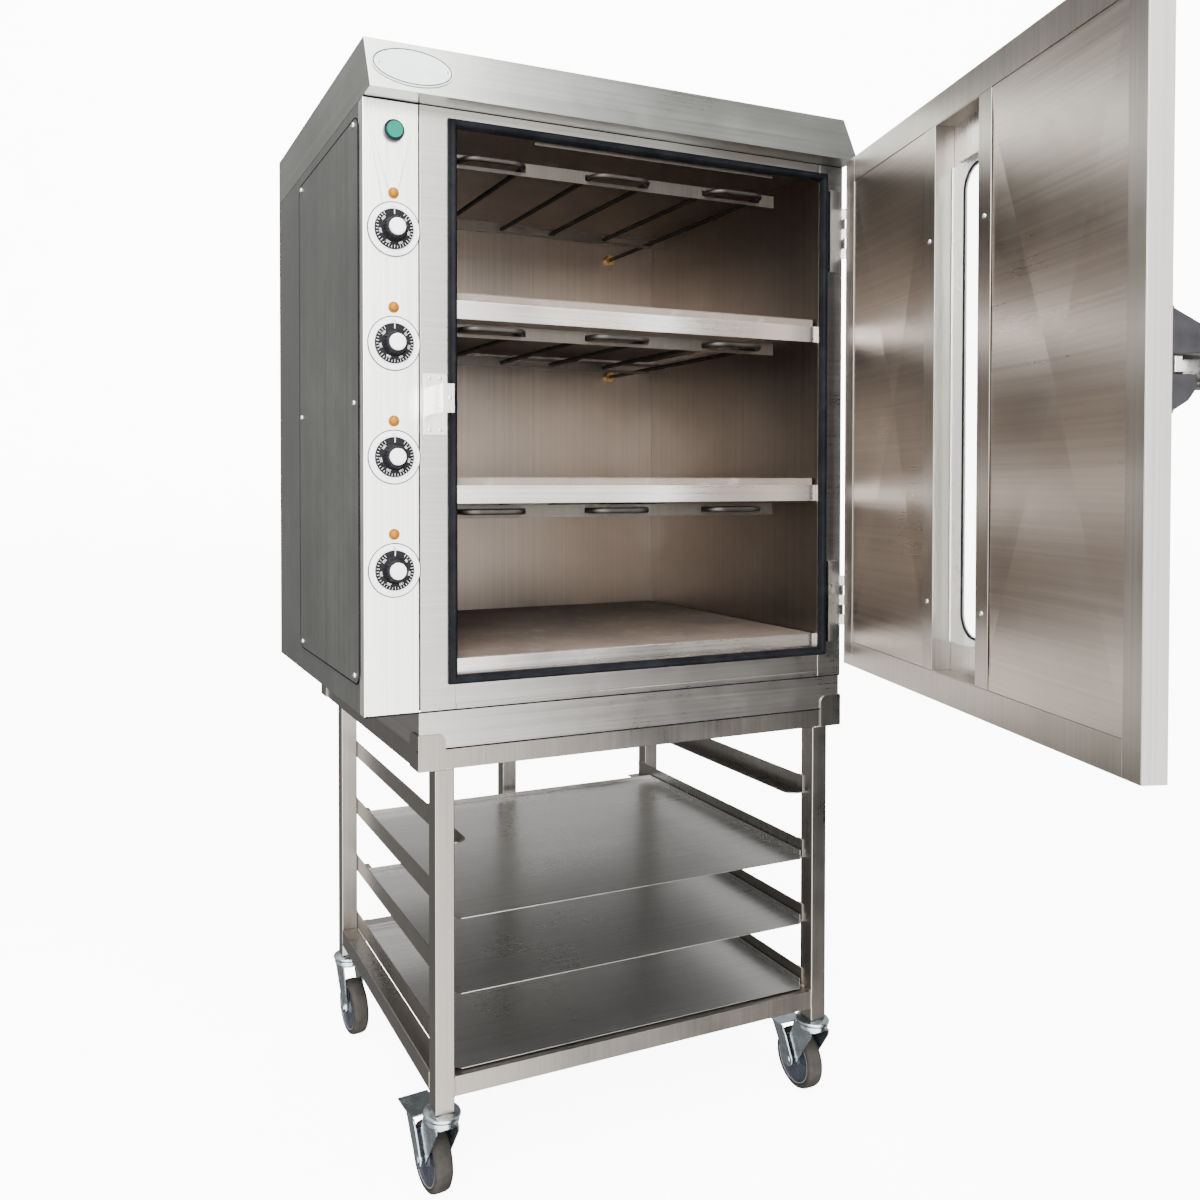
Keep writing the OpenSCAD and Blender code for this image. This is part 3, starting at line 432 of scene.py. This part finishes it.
# ---------------------------------------------------------------- materials
def make_materials():
    warm = (0.3, 0.23, 0.185)
    return {
        "canopy_steel": steel("canopy_steel", (0.44, 0.455, 0.43), (0.24, 0.36)),
        "badge_plate": moulded("badge_plate", (0.56, 0.585, 0.61), 0.4, 0.05),
        "side_steel": steel("side_steel", (0.24, 0.243, 0.235), (0.36, 0.46), "upright"),
        "frame_steel": steel("frame_steel", (0.43, 0.414, 0.398), (0.27, 0.33)),
        "panel_steel": steel("panel_steel", (0.93, 0.915, 0.9), (0.28, 0.38), "upright"),
        "seal_rubber": rubber("seal_rubber", (0.003, 0.0035, 0.005), (0.011, 0.012, 0.014), 0.6, 0.06),
        "liner_steel": steel("liner_steel", (0.26, 0.232, 0.208), (0.3, 0.42), "upright", warm, 0.3),
        "mineral_wool": wool("mineral_wool"),
        "deck_steel": steel("deck_steel", (0.72, 0.70, 0.68), (0.2, 0.34)),
        "stone": fired_stone("stone"),
        "element_steel": plated("element_steel", (0.06, 0.055, 0.05), (0.4, 0.6)),
        "brass": plated("brass", (0.68, 0.46, 0.16), (0.22, 0.4)),
        "control_parts": moulded("control_parts", (0.08, 0.08, 0.085)),
        "amber_lens": moulded("amber_lens", (0.27, 0.10, 0.002), 0.25, 0.02, 0.15, 0.3),
        "dial_white": moulded("dial_white", (0.86, 0.86, 0.86), 0.3, 0.05),
        "black_plastic": moulded("black_plastic", (0.01, 0.01, 0.012), 0.35, 0.1, 0.12),
        "bright_steel": steel("bright_steel", (0.8, 0.785, 0.76), (0.2, 0.34), "upright"),
        "hinge_steel": steel("hinge_steel", (0.5, 0.49, 0.47), (0.25, 0.4), "upright"),
        "screw_steel": plated("screw_steel", (0.74, 0.75, 0.77), (0.16, 0.3)),
        "stand_steel": steel("stand_steel", (0.26, 0.248, 0.235), (0.26, 0.36), "upright",
                             (0.34, 0.29, 0.23), 0.3),
        "castor_zinc": plated("castor_zinc", (0.46, 0.53, 0.56), (0.16, 0.3)),
        "door_steel": steel("door_steel", (0.50, 0.485, 0.465), (0.24, 0.38), "upright"),
        "door_frame_steel": steel("door_frame_steel", (0.31, 0.286, 0.262), (0.28, 0.38), "upright"),
        "door_inner_steel": steel("door_inner_steel", (0.36, 0.32, 0.288), (0.28, 0.34), "flat"),
        "window_glass": window_pane("window_glass"),
        "latch_dark": plated("latch_dark", (0.05, 0.05, 0.055), (0.3, 0.5)),
        "handle_steel": plated("handle_steel", (0.72, 0.71, 0.69), (0.14, 0.26)),
        "green_lens": moulded("green_lens", (0.0, 0.14, 0.1), 0.3, 0.02, 0.12, 0.3),
        "knob_black": moulded("knob_black", (0.008, 0.008, 0.01), 0.45, 0.15, 0.1),
        "tray_steel": steel("tray_steel", (0.50, 0.50, 0.495), (0.26, 0.36), "across"),
        "wheel_rubber": rubber("wheel_rubber", (0.02, 0.0185, 0.017), (0.05, 0.044, 0.038)),
        "wheel_hub": moulded("wheel_hub", (0.04, 0.045, 0.06), 0.45, 0.15, 0.2),
        "element_bracket": steel("element_bracket", (0.10, 0.09, 0.08), (0.36, 0.5), "upright"),
        "hand_grip": plated("hand_grip", (0.78, 0.77, 0.75), (0.12, 0.24)),
        "wheel_ring": moulded("wheel_ring", (0.2, 0.2, 0.215), 0.5, 0.1, 0.2),
        "print_white": moulded("print_white", (0.85, 0.85, 0.85), 0.5),
        "print_black": moulded("print_black", (0.02, 0.02, 0.02), 0.5),
        "weld": plated("weld", (0.42, 0.36, 0.29), (0.3, 0.5), 140.0),
    }


EDGES = {  # rounding of each carried-over node's edges, in millimetres
    "canopy": 1.2, "badge_plate": 0.5, "casing_upright_panels": 0.6, "side_access_cover": 0.9,
    "casing_back_panel": 0.6, "casing_floor_and_roof": 0.4, "plinth_frame": 0.6, "control_panel": 0.8,
    "front_frame": 0.5, "cavity_liner": 0.3, "deck_frames": 0.5, "baking_stones": 2.0,
    "element_supports": 0.3, "latch_keeper": 0.6, "hinge_body_leaves": 0.5, "stand_legs": 1.5,
    "stand_top_frame": 0.9, "corner_brackets": 0.8, "stand_rails": 1.5, "tray_runners": 0.5,
    "door_outer_pan": 0.35, "door_inner_frame": 0.3, "window_strips": 0.3, "window_glass": 0.5,
    "hinge_door_leaves": 0.5, "latch_bracket": 0.8, "latch_bolt": 0.8,
    "tray_1": 0.4, "tray_2": 0.4, "tray_3": 0.4, "button_bezel": 0.8, "power_button": 0.8,
    "brake_pedal_left": 0.6, "brake_pedal_right": 0.6, "cable_gland": 0.8,
}


def dress_nodes(frame, look):
    """Gives every CAD node its material and softens the edges of the nodes listed in EDGES."""
    slots = {row["node"]: row["material_slot"] for row in frame["record"]["subparts"]}
    slots["element_supports"] = "element_bracket"
    for name, node in frame["nodes"].items():
        node.data.materials.clear()
        node.data.materials.append(look[slots[name]])
        if name in EDGES:
            soften(node, EDGES[name])


# ---------------------------------------------------------------- controls
def letters(text, size, place, angle, radius):
    """Outline text as a flat mesh, standing on the front face at an angle round a dial."""
    curve = bpy.data.curves.new("figures", "FONT")
    curve.body = text
    curve.size = size * MM
    curve.align_x, curve.align_y = "CENTER", "CENTER"
    curve.extrude = 0.12 * MM
    holder = bpy.data.objects.new("figures", curve)
    bpy.context.scene.collection.objects.link(holder)
    bpy.context.view_layer.update()
    data = bpy.data.meshes.new_from_object(holder.evaluated_get(bpy.context.evaluated_depsgraph_get()))
    bpy.data.objects.remove(holder)
    shift = Matrix.Translation((0.0, radius * MM, 0.0))
    turn = Matrix.Rotation(-angle, 4, "Z")
    stand = Matrix.Rotation(math.radians(90), 4, "X")
    data.transform(Matrix.Translation(Vector(place) * MM) @ stand @ turn @ shift)
    return data


def bar_on_dial(builder, centre, angle, inner, outer, width, y):
    """Thin printed tick on a dial's face, pointing outwards at an angle from the top."""
    out = Vector((math.sin(angle), 0.0, math.cos(angle)))
    side = Vector((out.z, 0.0, -out.x)) * width / 2
    base = Vector((centre[0], y, centre[1]))
    low = [base + out * inner - side, base + out * inner + side, base + out * outer + side,
           base + out * outer - side]
    builder.rings([low, [p + Vector((0.0, -0.15, 0.0)) for p in low]])


def make_dials(look):
    for i, z in enumerate(DIAL_Z, 1):
        centre = (DIAL_X, Y_FRONT, z)
        face = Y_FRONT - 2.5
        ring = Builder()
        ring.washer([(9, 0), (38.4, 0), (39, 0.5), (39, 1.9), (38.3, 2.5), (9, 2.5)], centre, (0, -1, 0), 96)
        ring.finish(f"dial_{i}_plate", "cabinet", look["dial_white"],
                    ["dial_rings"] if i == 1 else [])
        marks = Builder()
        marks.washer([(37.4, 2.0), (38.6, 2.0), (38.9, 2.3), (38.6, 2.75), (37.4, 2.75)],
                     centre, (0, -1, 0), 96)
        for step in (-1, 0, 1):
            bar_on_dial(marks, (DIAL_X, z), step * 0.09, 30.5, 34.0 if step == 0 else 32.5, 0.8, face)
        marks.finish(f"dial_{i}_plate_marks", "cabinet", look["print_black"])
        make_knob(i, z, look)


def make_knob(i, z, look):
    """Black knob: numbered skirt, fluted grip and pale cap."""
    back = Y_FRONT - 2.9
    body = f"dial_{i}"

    def flutes(angle, radius, height):
        return -0.7 * (0.5 + 0.5 * math.cos(18 * angle)) if 4.5 < height < 16 else 0.0

    knob = Builder()
    knob.lathe([(28.5, 0), (28.5, 1.8), (27.8, 3.0), (19, 3.0), (18.3, 3.8), (17.2, 5.0), (15.6, 14.8),
                (14.6, 16.4), (12.2, 17.0), (12.0, 17.0)], (DIAL_X, back, z), (0, -1, 0), 144, flutes)
    knob.finish(f"dial_{i}_knob", body, look["knob_black"], [f"dial_knob_{i}"])
    cap = Builder()
    cap.lathe([(11.9, 16.5), (11.9, 19.2), (11.2, 20.2), (9.5, 20.6), (4, 20.75), (0, 20.8)],
              (DIAL_X, back, z), (0, -1, 0), 64)
    cap.finish(f"dial_{i}_cap", body, look["print_white"])
    marks = Builder()
    sweep_low, sweep_high = math.radians(35), math.radians(325)
    for k in range(31):
        angle = sweep_low + (sweep_high - sweep_low) * k / 30
        bar_on_dial(marks, (DIAL_X, z), angle, 24.2 if k % 5 else 22.9, 27.2, 0.5, back - 3.0)
    bar_on_dial(marks, (DIAL_X, z), 0.0, 20.5, 27.4, 1.1, back - 3.0)
    for k, text in enumerate(("50", "100", "150", "200", "250", "300")):
        angle = math.radians(50 + 52 * k)
        figures = letters(text, 4.6, (DIAL_X, back - 3.1, z), angle, 20.9)
        marks.mesh.from_mesh(figures)
        bpy.data.meshes.remove(figures)
    marks.finish(f"dial_{i}_marks", body, look["print_white"])


def make_lamps(look):
    for i, z in enumerate(DIAL_Z, 1):
        centre = (DIAL_X, Y_FRONT, z + LAMP_RISE)
        collar = Builder()
        collar.washer([(6.2, 0), (8, 0), (8, 1.2), (7.3, 2.0), (6.2, 2.0)], centre, (0, -1, 0), 48)
        collar.finish(f"lamp_{i}_collar", "cabinet", look["amber_lens"])
        lens = Builder()
        lens.lathe([(6.1, 0.2), (6.1, 3.2), (5.5, 5.0), (3.6, 6.4), (1.8, 6.9), (0, 7.0)],
                   centre, (0, -1, 0), 8)
        lens.finish(f"lamp_{i}_lens", "cabinet", look["amber_lens"],
                    ["pilot_lamps"] if i == 1 else [], bevel=0.4)


# ---------------------------------------------------------------- screws
def hex_recess(angle, radius, height):
    """Turns the innermost rings of a screw head into a hexagonal socket."""
    if radius > 2.2:
        return 0.0
    part = (angle + math.pi / 6) % (math.pi / 3) - math.pi / 6
    return radius * (math.cos(math.pi / 6) / math.cos(part) - 1)


def screw_head(builder, place, axis, radius, height):
    """Domed head with a hexagonal socket."""
    r, h = radius, height
    builder.lathe([(r, 0), (r, 0.25 * h), (0.93 * r, 0.6 * h), (0.72 * r, 0.9 * h), (0.5 * r, h),
                   (0.46 * r, h), (0.44 * r, 0.35 * h), (0.05 * r, 0.3 * h)], place, axis, 48,
                  hex_recess)


def make_screws(look):
    heads = Builder()
    for z in (785.0, 1178.0, 1575.0):
        for y in (-265.0, 97.0):
            screw_head(heads, (-421.5, y, z), (-1, 0, 0), 4.5, 2.5)
    for x in (-323.5, -307.5):
        for rise in (-37.0, 37.0):
            screw_head(heads, (x, Y_FRONT - 2.0, 1176.5 + rise), (0, -1, 0), 2.8, 1.4)
    screw_head(heads, (-313.5, Y_FRONT - 61.0, 1181.0), (0, -1, 0), 3.0, 1.4)
    for z in HINGE_Z:
        for rise in (-27.0, 0.0, 27.0):
            screw_head(heads, (414.0, Y_FRONT - 2.5, z + rise), (0, -1, 0), 3.0, 1.5)
    slope = math.atan2(35.0, 80.0)
    out = Vector((0.0, -math.cos(slope), math.sin(slope)))
    low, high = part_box("badge_plate")
    middle = (low + high) / 2 / MM
    border = [middle + Vector((57.0 * math.cos(a), 0.0, 0.0)) + out * 1.0
              + Vector((0.0, math.sin(slope), math.cos(slope))) * 31.0 * math.sin(a)
              for a in (math.pi * k / 48 for k in range(96))]
    rim = Builder()
    rim.sweep(border, 0.8, 6, closed=True)
    rim.finish("badge_border", "cabinet", look["print_black"])
    for shift in (-50.0, 50.0):
        screw_head(heads, Vector((middle.x + shift, middle.y, middle.z)) + out * 0.75, out, 2.4, 1.2)
    heads.finish("panel_screw_heads", "cabinet", look["screw_steel"], ["panel_screws"])
    heads = Builder()
    for x in STRIP_X:
        for z in (897.0, 1400.0):
            screw_head(heads, (x, DOOR_BACK, z), (0, 1, 0), 3.5, 1.8)
    for z in HINGE_Z:
        for rise in (-27.0, 0.0, 27.0):
            screw_head(heads, (393.0, DOOR_FACE - 2.5, z + rise), (0, -1, 0), 3.5, 1.8)
    heads.finish("door_screw_heads", "door", look["screw_steel"], ["door_screws"], door=True)


# ---------------------------------------------------------------- painted seam shadows and gaskets
def rounded_loop(a0, a1, b0, b1, radius, steps=8):
    """Closed loop of (a, b) points round a rectangle with rounded corners."""
    corners = [(a1 - radius, b1 - radius, 0), (a0 + radius, b1 - radius, 1), (a0 + radius, b0 + radius, 2),
               (a1 - radius, b0 + radius, 3)]
    return [(ca + radius * math.cos(t), cb + radius * math.sin(t)) for ca, cb, quarter in corners
            for t in (math.pi / 2 * (quarter + k / steps) for k in range(steps + 1))]


def make_seam_shadows_and_gaskets(look):
    """Dark strips of painted shadow in the sheet joints and round the side cover, and a dark rubber gasket
    round the door glass.
    """
    # Painted shadow: dark strips laid in the sheet joints, where the gaps between the sheets fall in shade.
    seam_shadows = Builder()
    for x0, x1, z in ((-419.0, 419.0, 1603.0), (-419.0, 419.0, 733.0), (-343.0, 395.0, 677.0)):
        section = [(0.3, -1.3), (-0.4, -1.1), (-0.8, 0.0), (-0.4, 1.1), (0.3, 1.3)]
        seam_shadows.rings([[(x, Y_FRONT + out, z + rise) for out, rise in section] for x in (x0, x1)])
    # Painted shadow: a dark line round the side cover, where its edge gap falls in shade.
    cover = [(-420.7, y, z) for y, z in rounded_loop(-290.2, 116.2, 773.8, 1583.2, 21.0)]
    seam_shadows.sweep(cover, 1.3, 8, closed=True)
    # The painted shadow lines use the dark seal rubber material.
    seam_shadows.finish("painted_shadow_joint_lines", "cabinet", look["seal_rubber"])
    glazing = Builder()
    loop = [(x, DOOR_FACE + 6.0, z) for x, z in rounded_loop(17.5, 82.5, 855.5, 1486.5, 32.4, 16)]
    glazing.sweep(loop, 1.7, 8, closed=True)
    glazing.finish("glass_gasket", "door", look["seal_rubber"], door=True)
    tab = Builder()
    fold = [(-351.7, 1556.5), (-350.5, 1556.5), (-350.5, 1498.6), (-349.6, 1497.4), (-341.0, 1497.2),
            (-341.0, 1496.0), (-350.2, 1496.0), (-351.7, 1497.6)]
    tab.rings([[(x, y, z) for y, z in fold] for x in (41.0, 86.0)])
    tab.finish("glass_stop_tab", "door", look["door_steel"], door=True, bevel=0.3)


# ---------------------------------------------------------------- door panels
def make_door_panels(look):
    """Cross-broken sheets on the door's inside: four flat facets that meet in a pressed-in middle."""
    front, deep, sheet = DOOR_BACK - DOOR_SKIN, 8.0, 2.0
    low, high = 802.2, 1556.8
    panels = Builder()
    for left, right in ((-274.8, -7.5), (133.5, 386.8)):
        middle = Vector(((left + right) / 2, 0.0, (low + high) / 2))

        def outline(y, share):
            corners = ((left, low), (right, low), (right, high), (left, high))
            return [middle.lerp(Vector((x, 0.0, z)), share) + Vector((0.0, y, 0.0)) for x, z in corners]

        panels.rings([outline(front - sheet - deep, 0.003), outline(front - sheet, 1.0), outline(front, 1.0),
                      outline(front - deep, 0.003)])
    panels.finish("door_crossed_panels", "door", look["door_inner_steel"],
                  ["door_inner_panels"], door=True, smooth=1)


# ---------------------------------------------------------------- handle
def make_handle(look):
    """Bright sleeve on the latch barrel, grooved hub, and the tapering lever that hangs from it."""
    x, z = LATCH
    sleeve = Builder()
    sleeve.washer([(23.05, 9.4), (23.5, 9.8), (23.6, 11.0), (23.6, 40.4), (23.4, 41.4), (23.05, 41.7)],
                  (x, DOOR_FACE - LATCH_PLATE, z), (0, -1, 0), 96)
    sleeve.finish("latch_sleeve", "door", look["handle_steel"], door=True)
    base = DOOR_FACE - HUB_BASE
    grip = Builder()
    grip.lathe([(14, 0), (21.5, 0), (22.8, 1.0), (22.8, 4.0), (21.6, 5.0), (21.6, 6.5), (22.8, 7.5),
                (22.8, 24.0), (22.2, 25.2), (22.2, 26.0), (22.8, 27.2), (22.8, 38.0), (21.6, 40.2),
                (18.5, 41.4), (9, 41.9), (8.4, 41.0), (0, 41.0)], (x, base, z), (0, -1, 0), 96)
    length, lever_y, squareness = 161.0, base - 33.5, 0.7

    def rounded(value):
        return math.copysign(abs(value) ** squareness, value)

    rings = []
    for k in range(25):
        t = k / 24
        end = max(math.sqrt(1.0 - max(0.0, (t - 0.92) / 0.08) ** 2), 0.12)
        wide, thick = (15.0 - 4.2 * t ** 0.6) * end, (6.3 - 1.2 * t) * end
        rings.append([(x + wide * rounded(math.cos(a)), lever_y + thick * rounded(math.sin(a)),
                       z - length * t) for a in (math.pi * j / 16 for j in range(32))])
    grip.rings(rings)
    grip.finish("latch_lever", "latch_handle", look["hand_grip"], ["latch_handle"],
                door=True, smooth=35)


# ---------------------------------------------------------------- door seal
def make_seal(look):
    """One loop of hollow rubber profile with mitred corners."""
    low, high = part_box("door_seal")
    x0, y0, z0 = (c / MM for c in low)
    x1, y1, z1 = (c / MM for c in high)
    w, t = 13.0, y1 - y0
    profile = [(0.0, 0.0), (w, 0.0), (w, 0.45 * t), (0.86 * w, 0.82 * t), (0.66 * w, t),
               (0.42 * w, 0.98 * t), (0.22 * w, 0.8 * t), (0.14 * w, 0.5 * t), (0.0, 0.35 * t)]
    corners = [(x0, z0, 1, 1), (x1, z0, -1, 1), (x1, z1, -1, -1), (x0, z1, 1, -1)]
    seal = Builder()
    seal.rings([[(x + sx * (w - a), y1 - b, z + sz * (w - a)) for a, b in profile]
                for x, z, sx, sz in corners], closed=True)
    seal.finish("door_seal_loop", "cabinet", look["seal_rubber"], ["door_seal"], smooth=50)


# ---------------------------------------------------------------- stand
def weld_bead(builder, start, end, radius=1.9):
    """Rippled bead between two points."""
    a, b = Vector(start), Vector(end)
    count = max(int((b - a).length / 0.9), 6)

    def ripple(i):
        edge = min(i, count - i) / 2
        return radius * (min(1.0, 0.35 + 0.65 * edge) + 0.16 * math.sin(1.9 * i))

    builder.sweep([a.lerp(b, i / count) for i in range(count + 1)], ripple, 8)


def make_welds(look):
    beads = Builder()
    inner = (LEG_X[0] + TUBE, LEG_X[1])
    for y in (LEG_Y[0], LEG_Y[1] + TUBE):
        for x in inner:
            weld_bead(beads, (x, y + (0.4 if y < 0 else -0.4), RAIL_Z + 2), (x, y, RAIL_Z + TUBE - 2), 1.3)
    for x, side in ((LEG_X[0], 0.5), (LEG_X[1] + TUBE, -0.5)):
        for y in (LEG_Y[0] + TUBE, LEG_Y[1]):
            weld_bead(beads, (x + side, y, RAIL_Z + 2), (x + side, y, RAIL_Z + TUBE - 2), 1.3)
    for x in inner:
        for y in (LEG_Y[0] + 6, LEG_Y[0] + TUBE - 6):
            for z in (RAIL_Z, RAIL_Z + TUBE):
                weld_bead(beads, (x, y - 5, z), (x, y + 5, z), 1.4)
        for level in LEVEL_Z:
            for y in (Y_FRONT + 28.0, LEG_Y[1] + 6.0):
                for z in (level - 2.0, level + 28.0):
                    shift = 1.0 if x < 0 else -1.0
                    weld_bead(beads, (x + shift, y - 2, z), (x + shift, y + 9, z), 1.4)
    for x in (LEG_X[0], LEG_X[1] + TUBE):
        for y in (LEG_Y[0] + 3, LEG_Y[1] + 3):
            weld_bead(beads, (x, y, 647.0), (x, y + 24, 647.0), 1.6)
    for x in LEG_X:
        for y in (LEG_Y[0], LEG_Y[1] + TUBE):
            weld_bead(beads, (x + 3, y, 647.0), (x + TUBE - 3, y, 647.0), 1.6)
    beads.finish("stand_weld_beads", "cabinet", look["weld"], smooth=60)


# ---------------------------------------------------------------- castors
def castor_matrix(name):
    x, y, heading = CASTORS[name]
    return Matrix.Translation((x * MM, y * MM, 0)) @ Matrix.Rotation(math.radians(heading), 4, "Z")


def rounded_plate(points, radius=3.0, steps=4):
    """Outline with each corner rounded."""
    outline = []
    n = len(points)
    for i in range(n):
        p = Vector(points[i])
        a = (Vector(points[i - 1]) - p)
        b = (Vector(points[(i + 1) % n]) - p)
        cut = min(radius, 0.45 * a.length, 0.45 * b.length)
        start, end = p + a.normalized() * cut, p + b.normalized() * cut
        for k in range(steps + 1):
            t = k / steps
            outline.append(tuple(start * (1 - t) ** 2 + p * 2 * t * (1 - t) + end * t ** 2))
    return outline


def make_wheel(name, look):
    tyre = Builder()
    tyre.washer([(40.5, -12.0), (42, -14.6), (45.5, -14.2), (48.4, -12.0), (49.7, -8.0), (50, -3.0),
                 (50, 3.0), (49.7, 8.0), (48.4, 12.0), (45.5, 14.2), (42, 14.6), (40.5, 12.0)],
                (TRAIL, 0, 50), (0, 1, 0), 128)
    tyre.mesh.transform(castor_matrix(name))
    tyre.finish(f"castor_tyre_{name}", f"wheel_{name}", look["wheel_rubber"],
                [f"castor_wheel_{name}"], smooth=60)
    hub = Builder()
    hub.washer([(5.05, -15.0), (11, -15.0), (12.5, -13.5), (14, -9.5), (31, -8.2), (35.5, -9.0),
                (37.8, -12.6),
                (40.3, -12.6), (40.8, -11.5), (40.8, 11.5), (40.3, 12.6), (37.8, 12.6), (35.5, 9.0),
                (31, 8.2), (14, 9.5), (12.5, 13.5), (11, 15.0), (5.05, 15.0)], (TRAIL, 0, 50), (0, 1, 0), 96)
    for k in range(10):
        a = 2 * math.pi * k / 10
        out, side = Vector((math.cos(a), 0, math.sin(a))), Vector((-math.sin(a), 0, math.cos(a))) * 0.9
        base = Vector((TRAIL, 0, 50))
        for face in (-1, 1):
            low = [base + out * 13.0 - side, base + out * 13.0 + side, base + out * 36.0 + side,
                   base + out * 36.0 - side]
            hub.rings([[p + Vector((0, face * out_y, 0)) for p in low] for out_y in (7.5, 10.2)])
    ring = Builder()
    for face in (-1, 1):
        ring.washer([(39.0, face * 12.4), (40.4, face * 12.4), (40.4, face * 13.4), (39.7, face * 13.8),
                     (39.0, face * 13.4)], (TRAIL, 0, 50), (0, 1, 0), 96)
    ring.mesh.transform(castor_matrix(name))
    ring.finish(f"castor_ring_{name}", f"wheel_{name}", look["wheel_ring"])
    hub.mesh.transform(castor_matrix(name))
    hub.finish(f"castor_hub_{name}", f"wheel_{name}", look["wheel_hub"])


def make_fork(name, look):
    """Pressed fork: round crown, two waisted arms with raised bosses, and the axle with its nuts."""
    z1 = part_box(f"castor_fork_{name}")[1].z / MM
    nut = 4.0 if name.startswith("front") else 1.2        # outside the brake pedal on the front castors
    fork = Builder()
    fork.washer([(6.3, z1 - 7.0), (21.5, z1 - 9.5), (25.3, z1 - 8.0), (26.0, z1 - 5.0), (25.0, z1 - 1.2),
                 (22.5, z1), (12, z1), (10.9, z1 - 1.5), (6.3, z1 - 4.5)], (0, 0, 0), (0, 0, 1), 96)
    arm = rounded_plate([(-22, z1 - 8.0), (-21, z1 - 17.0), (6.0, 72.0), (TRAIL - 12.0, 44.0),
                         (TRAIL, 38.5), (TRAIL + 11.5, 46.0), (TRAIL + 12.5, 58.0),
                         (31.0, z1 - 20.0), (27.0, z1 - 8.0)], 9.0, 6)
    for side in (-1, 1):
        y = side * 17.6
        fork.prism([(-a, b) for a, b in arm], (0, y - 1.25, 0), (0, 1, 0), (0, 0, 1), 2.5)
        fork.lathe([(9.6, 0), (9.4, 0.7), (8.4, 1.1), (0, 1.1)], (TRAIL, y + side * nut, 50),
                   (0, side, 0), 48)
        fork.lathe([(7.4, 0), (7.4, 3.6), (6.6, 4.4), (5.2, 4.4), (5.2, 4.6), (0, 4.9)],
                   (TRAIL, y + side * nut, 50), (0, side, 0), 6)
    bridge = rounded_plate([(-23, -18.8), (27, -18.8), (27, 18.8), (-23, 18.8)], 12.0, 6)
    fork.prism([(a, b) for a, b in bridge], (0, 0, z1 - 9.6), (0, 0, 1), (0, 1, 0), 2.4)
    fork.lathe([(5.0, 0), (5.0, 38.0)], (TRAIL, -19.0, 50), (0, 1, 0), 32)
    fork.mesh.transform(castor_matrix(name))
    fork.finish(f"castor_yoke_{name}", f"castor_{name}", look["castor_zinc"],
                [f"castor_fork_{name}"], bevel=0.7)


def make_castor_heads(look):
    """Domed bearing cups, each with a neck that goes up into the leg."""
    neck_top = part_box("castor_heads")[1].z / MM
    top = 140.0
    cups = Builder()
    for x, y, _ in CASTORS.values():
        cups.lathe([(25.6, top - 9.0), (27.0, top - 8.4), (28.2, top - 6.8), (28.4, top - 5.2),
                    (27.4, top - 3.2), (24.0, top - 1.6), (17.5, top - 0.9), (15.5, top - 0.2),
                    (14.2, top + 0.0), (12.4, top + 0.6), (12.0, top + 1.6), (12.0, neck_top)],
                   (x, y, 0), (0, 0, 1), 96)
    cups.finish("castor_bearing_cups", "cabinet", look["castor_zinc"], ["castor_heads"],
                smooth=35)


# ---------------------------------------------------------------- build
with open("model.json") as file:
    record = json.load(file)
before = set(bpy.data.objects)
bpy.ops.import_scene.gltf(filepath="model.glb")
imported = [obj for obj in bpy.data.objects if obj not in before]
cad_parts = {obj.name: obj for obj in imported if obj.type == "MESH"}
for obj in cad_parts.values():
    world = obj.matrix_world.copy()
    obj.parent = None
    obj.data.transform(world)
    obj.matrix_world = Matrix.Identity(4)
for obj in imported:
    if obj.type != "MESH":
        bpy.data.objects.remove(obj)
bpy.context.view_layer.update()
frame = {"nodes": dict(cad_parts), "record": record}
make_camera()
make_world()
make_stage()
area_light("softbox_front", (-1.4, -2.9, 2.3), (0.0, 0.0, 1.0), (1.6, 1.6), 95)
area_light("softbox_top", (-0.9, -0.9, 3.5), (-0.1, -0.1, 0.8), (2.4, 2.0), 150)
area_light("softbox_left", (-3.2, -0.6, 1.9), (0.0, 0.0, 1.0), (1.2, 1.8), 12)

look = make_materials()
dress_nodes(frame, look)
make_dials(look)
make_lamps(look)
make_screws(look)
make_seam_shadows_and_gaskets(look)
make_door_panels(look)
make_handle(look)
make_seal(look)
make_welds(look)
for castor in CASTORS:
    make_wheel(castor, look)
    make_fork(castor, look)
make_castor_heads(look)
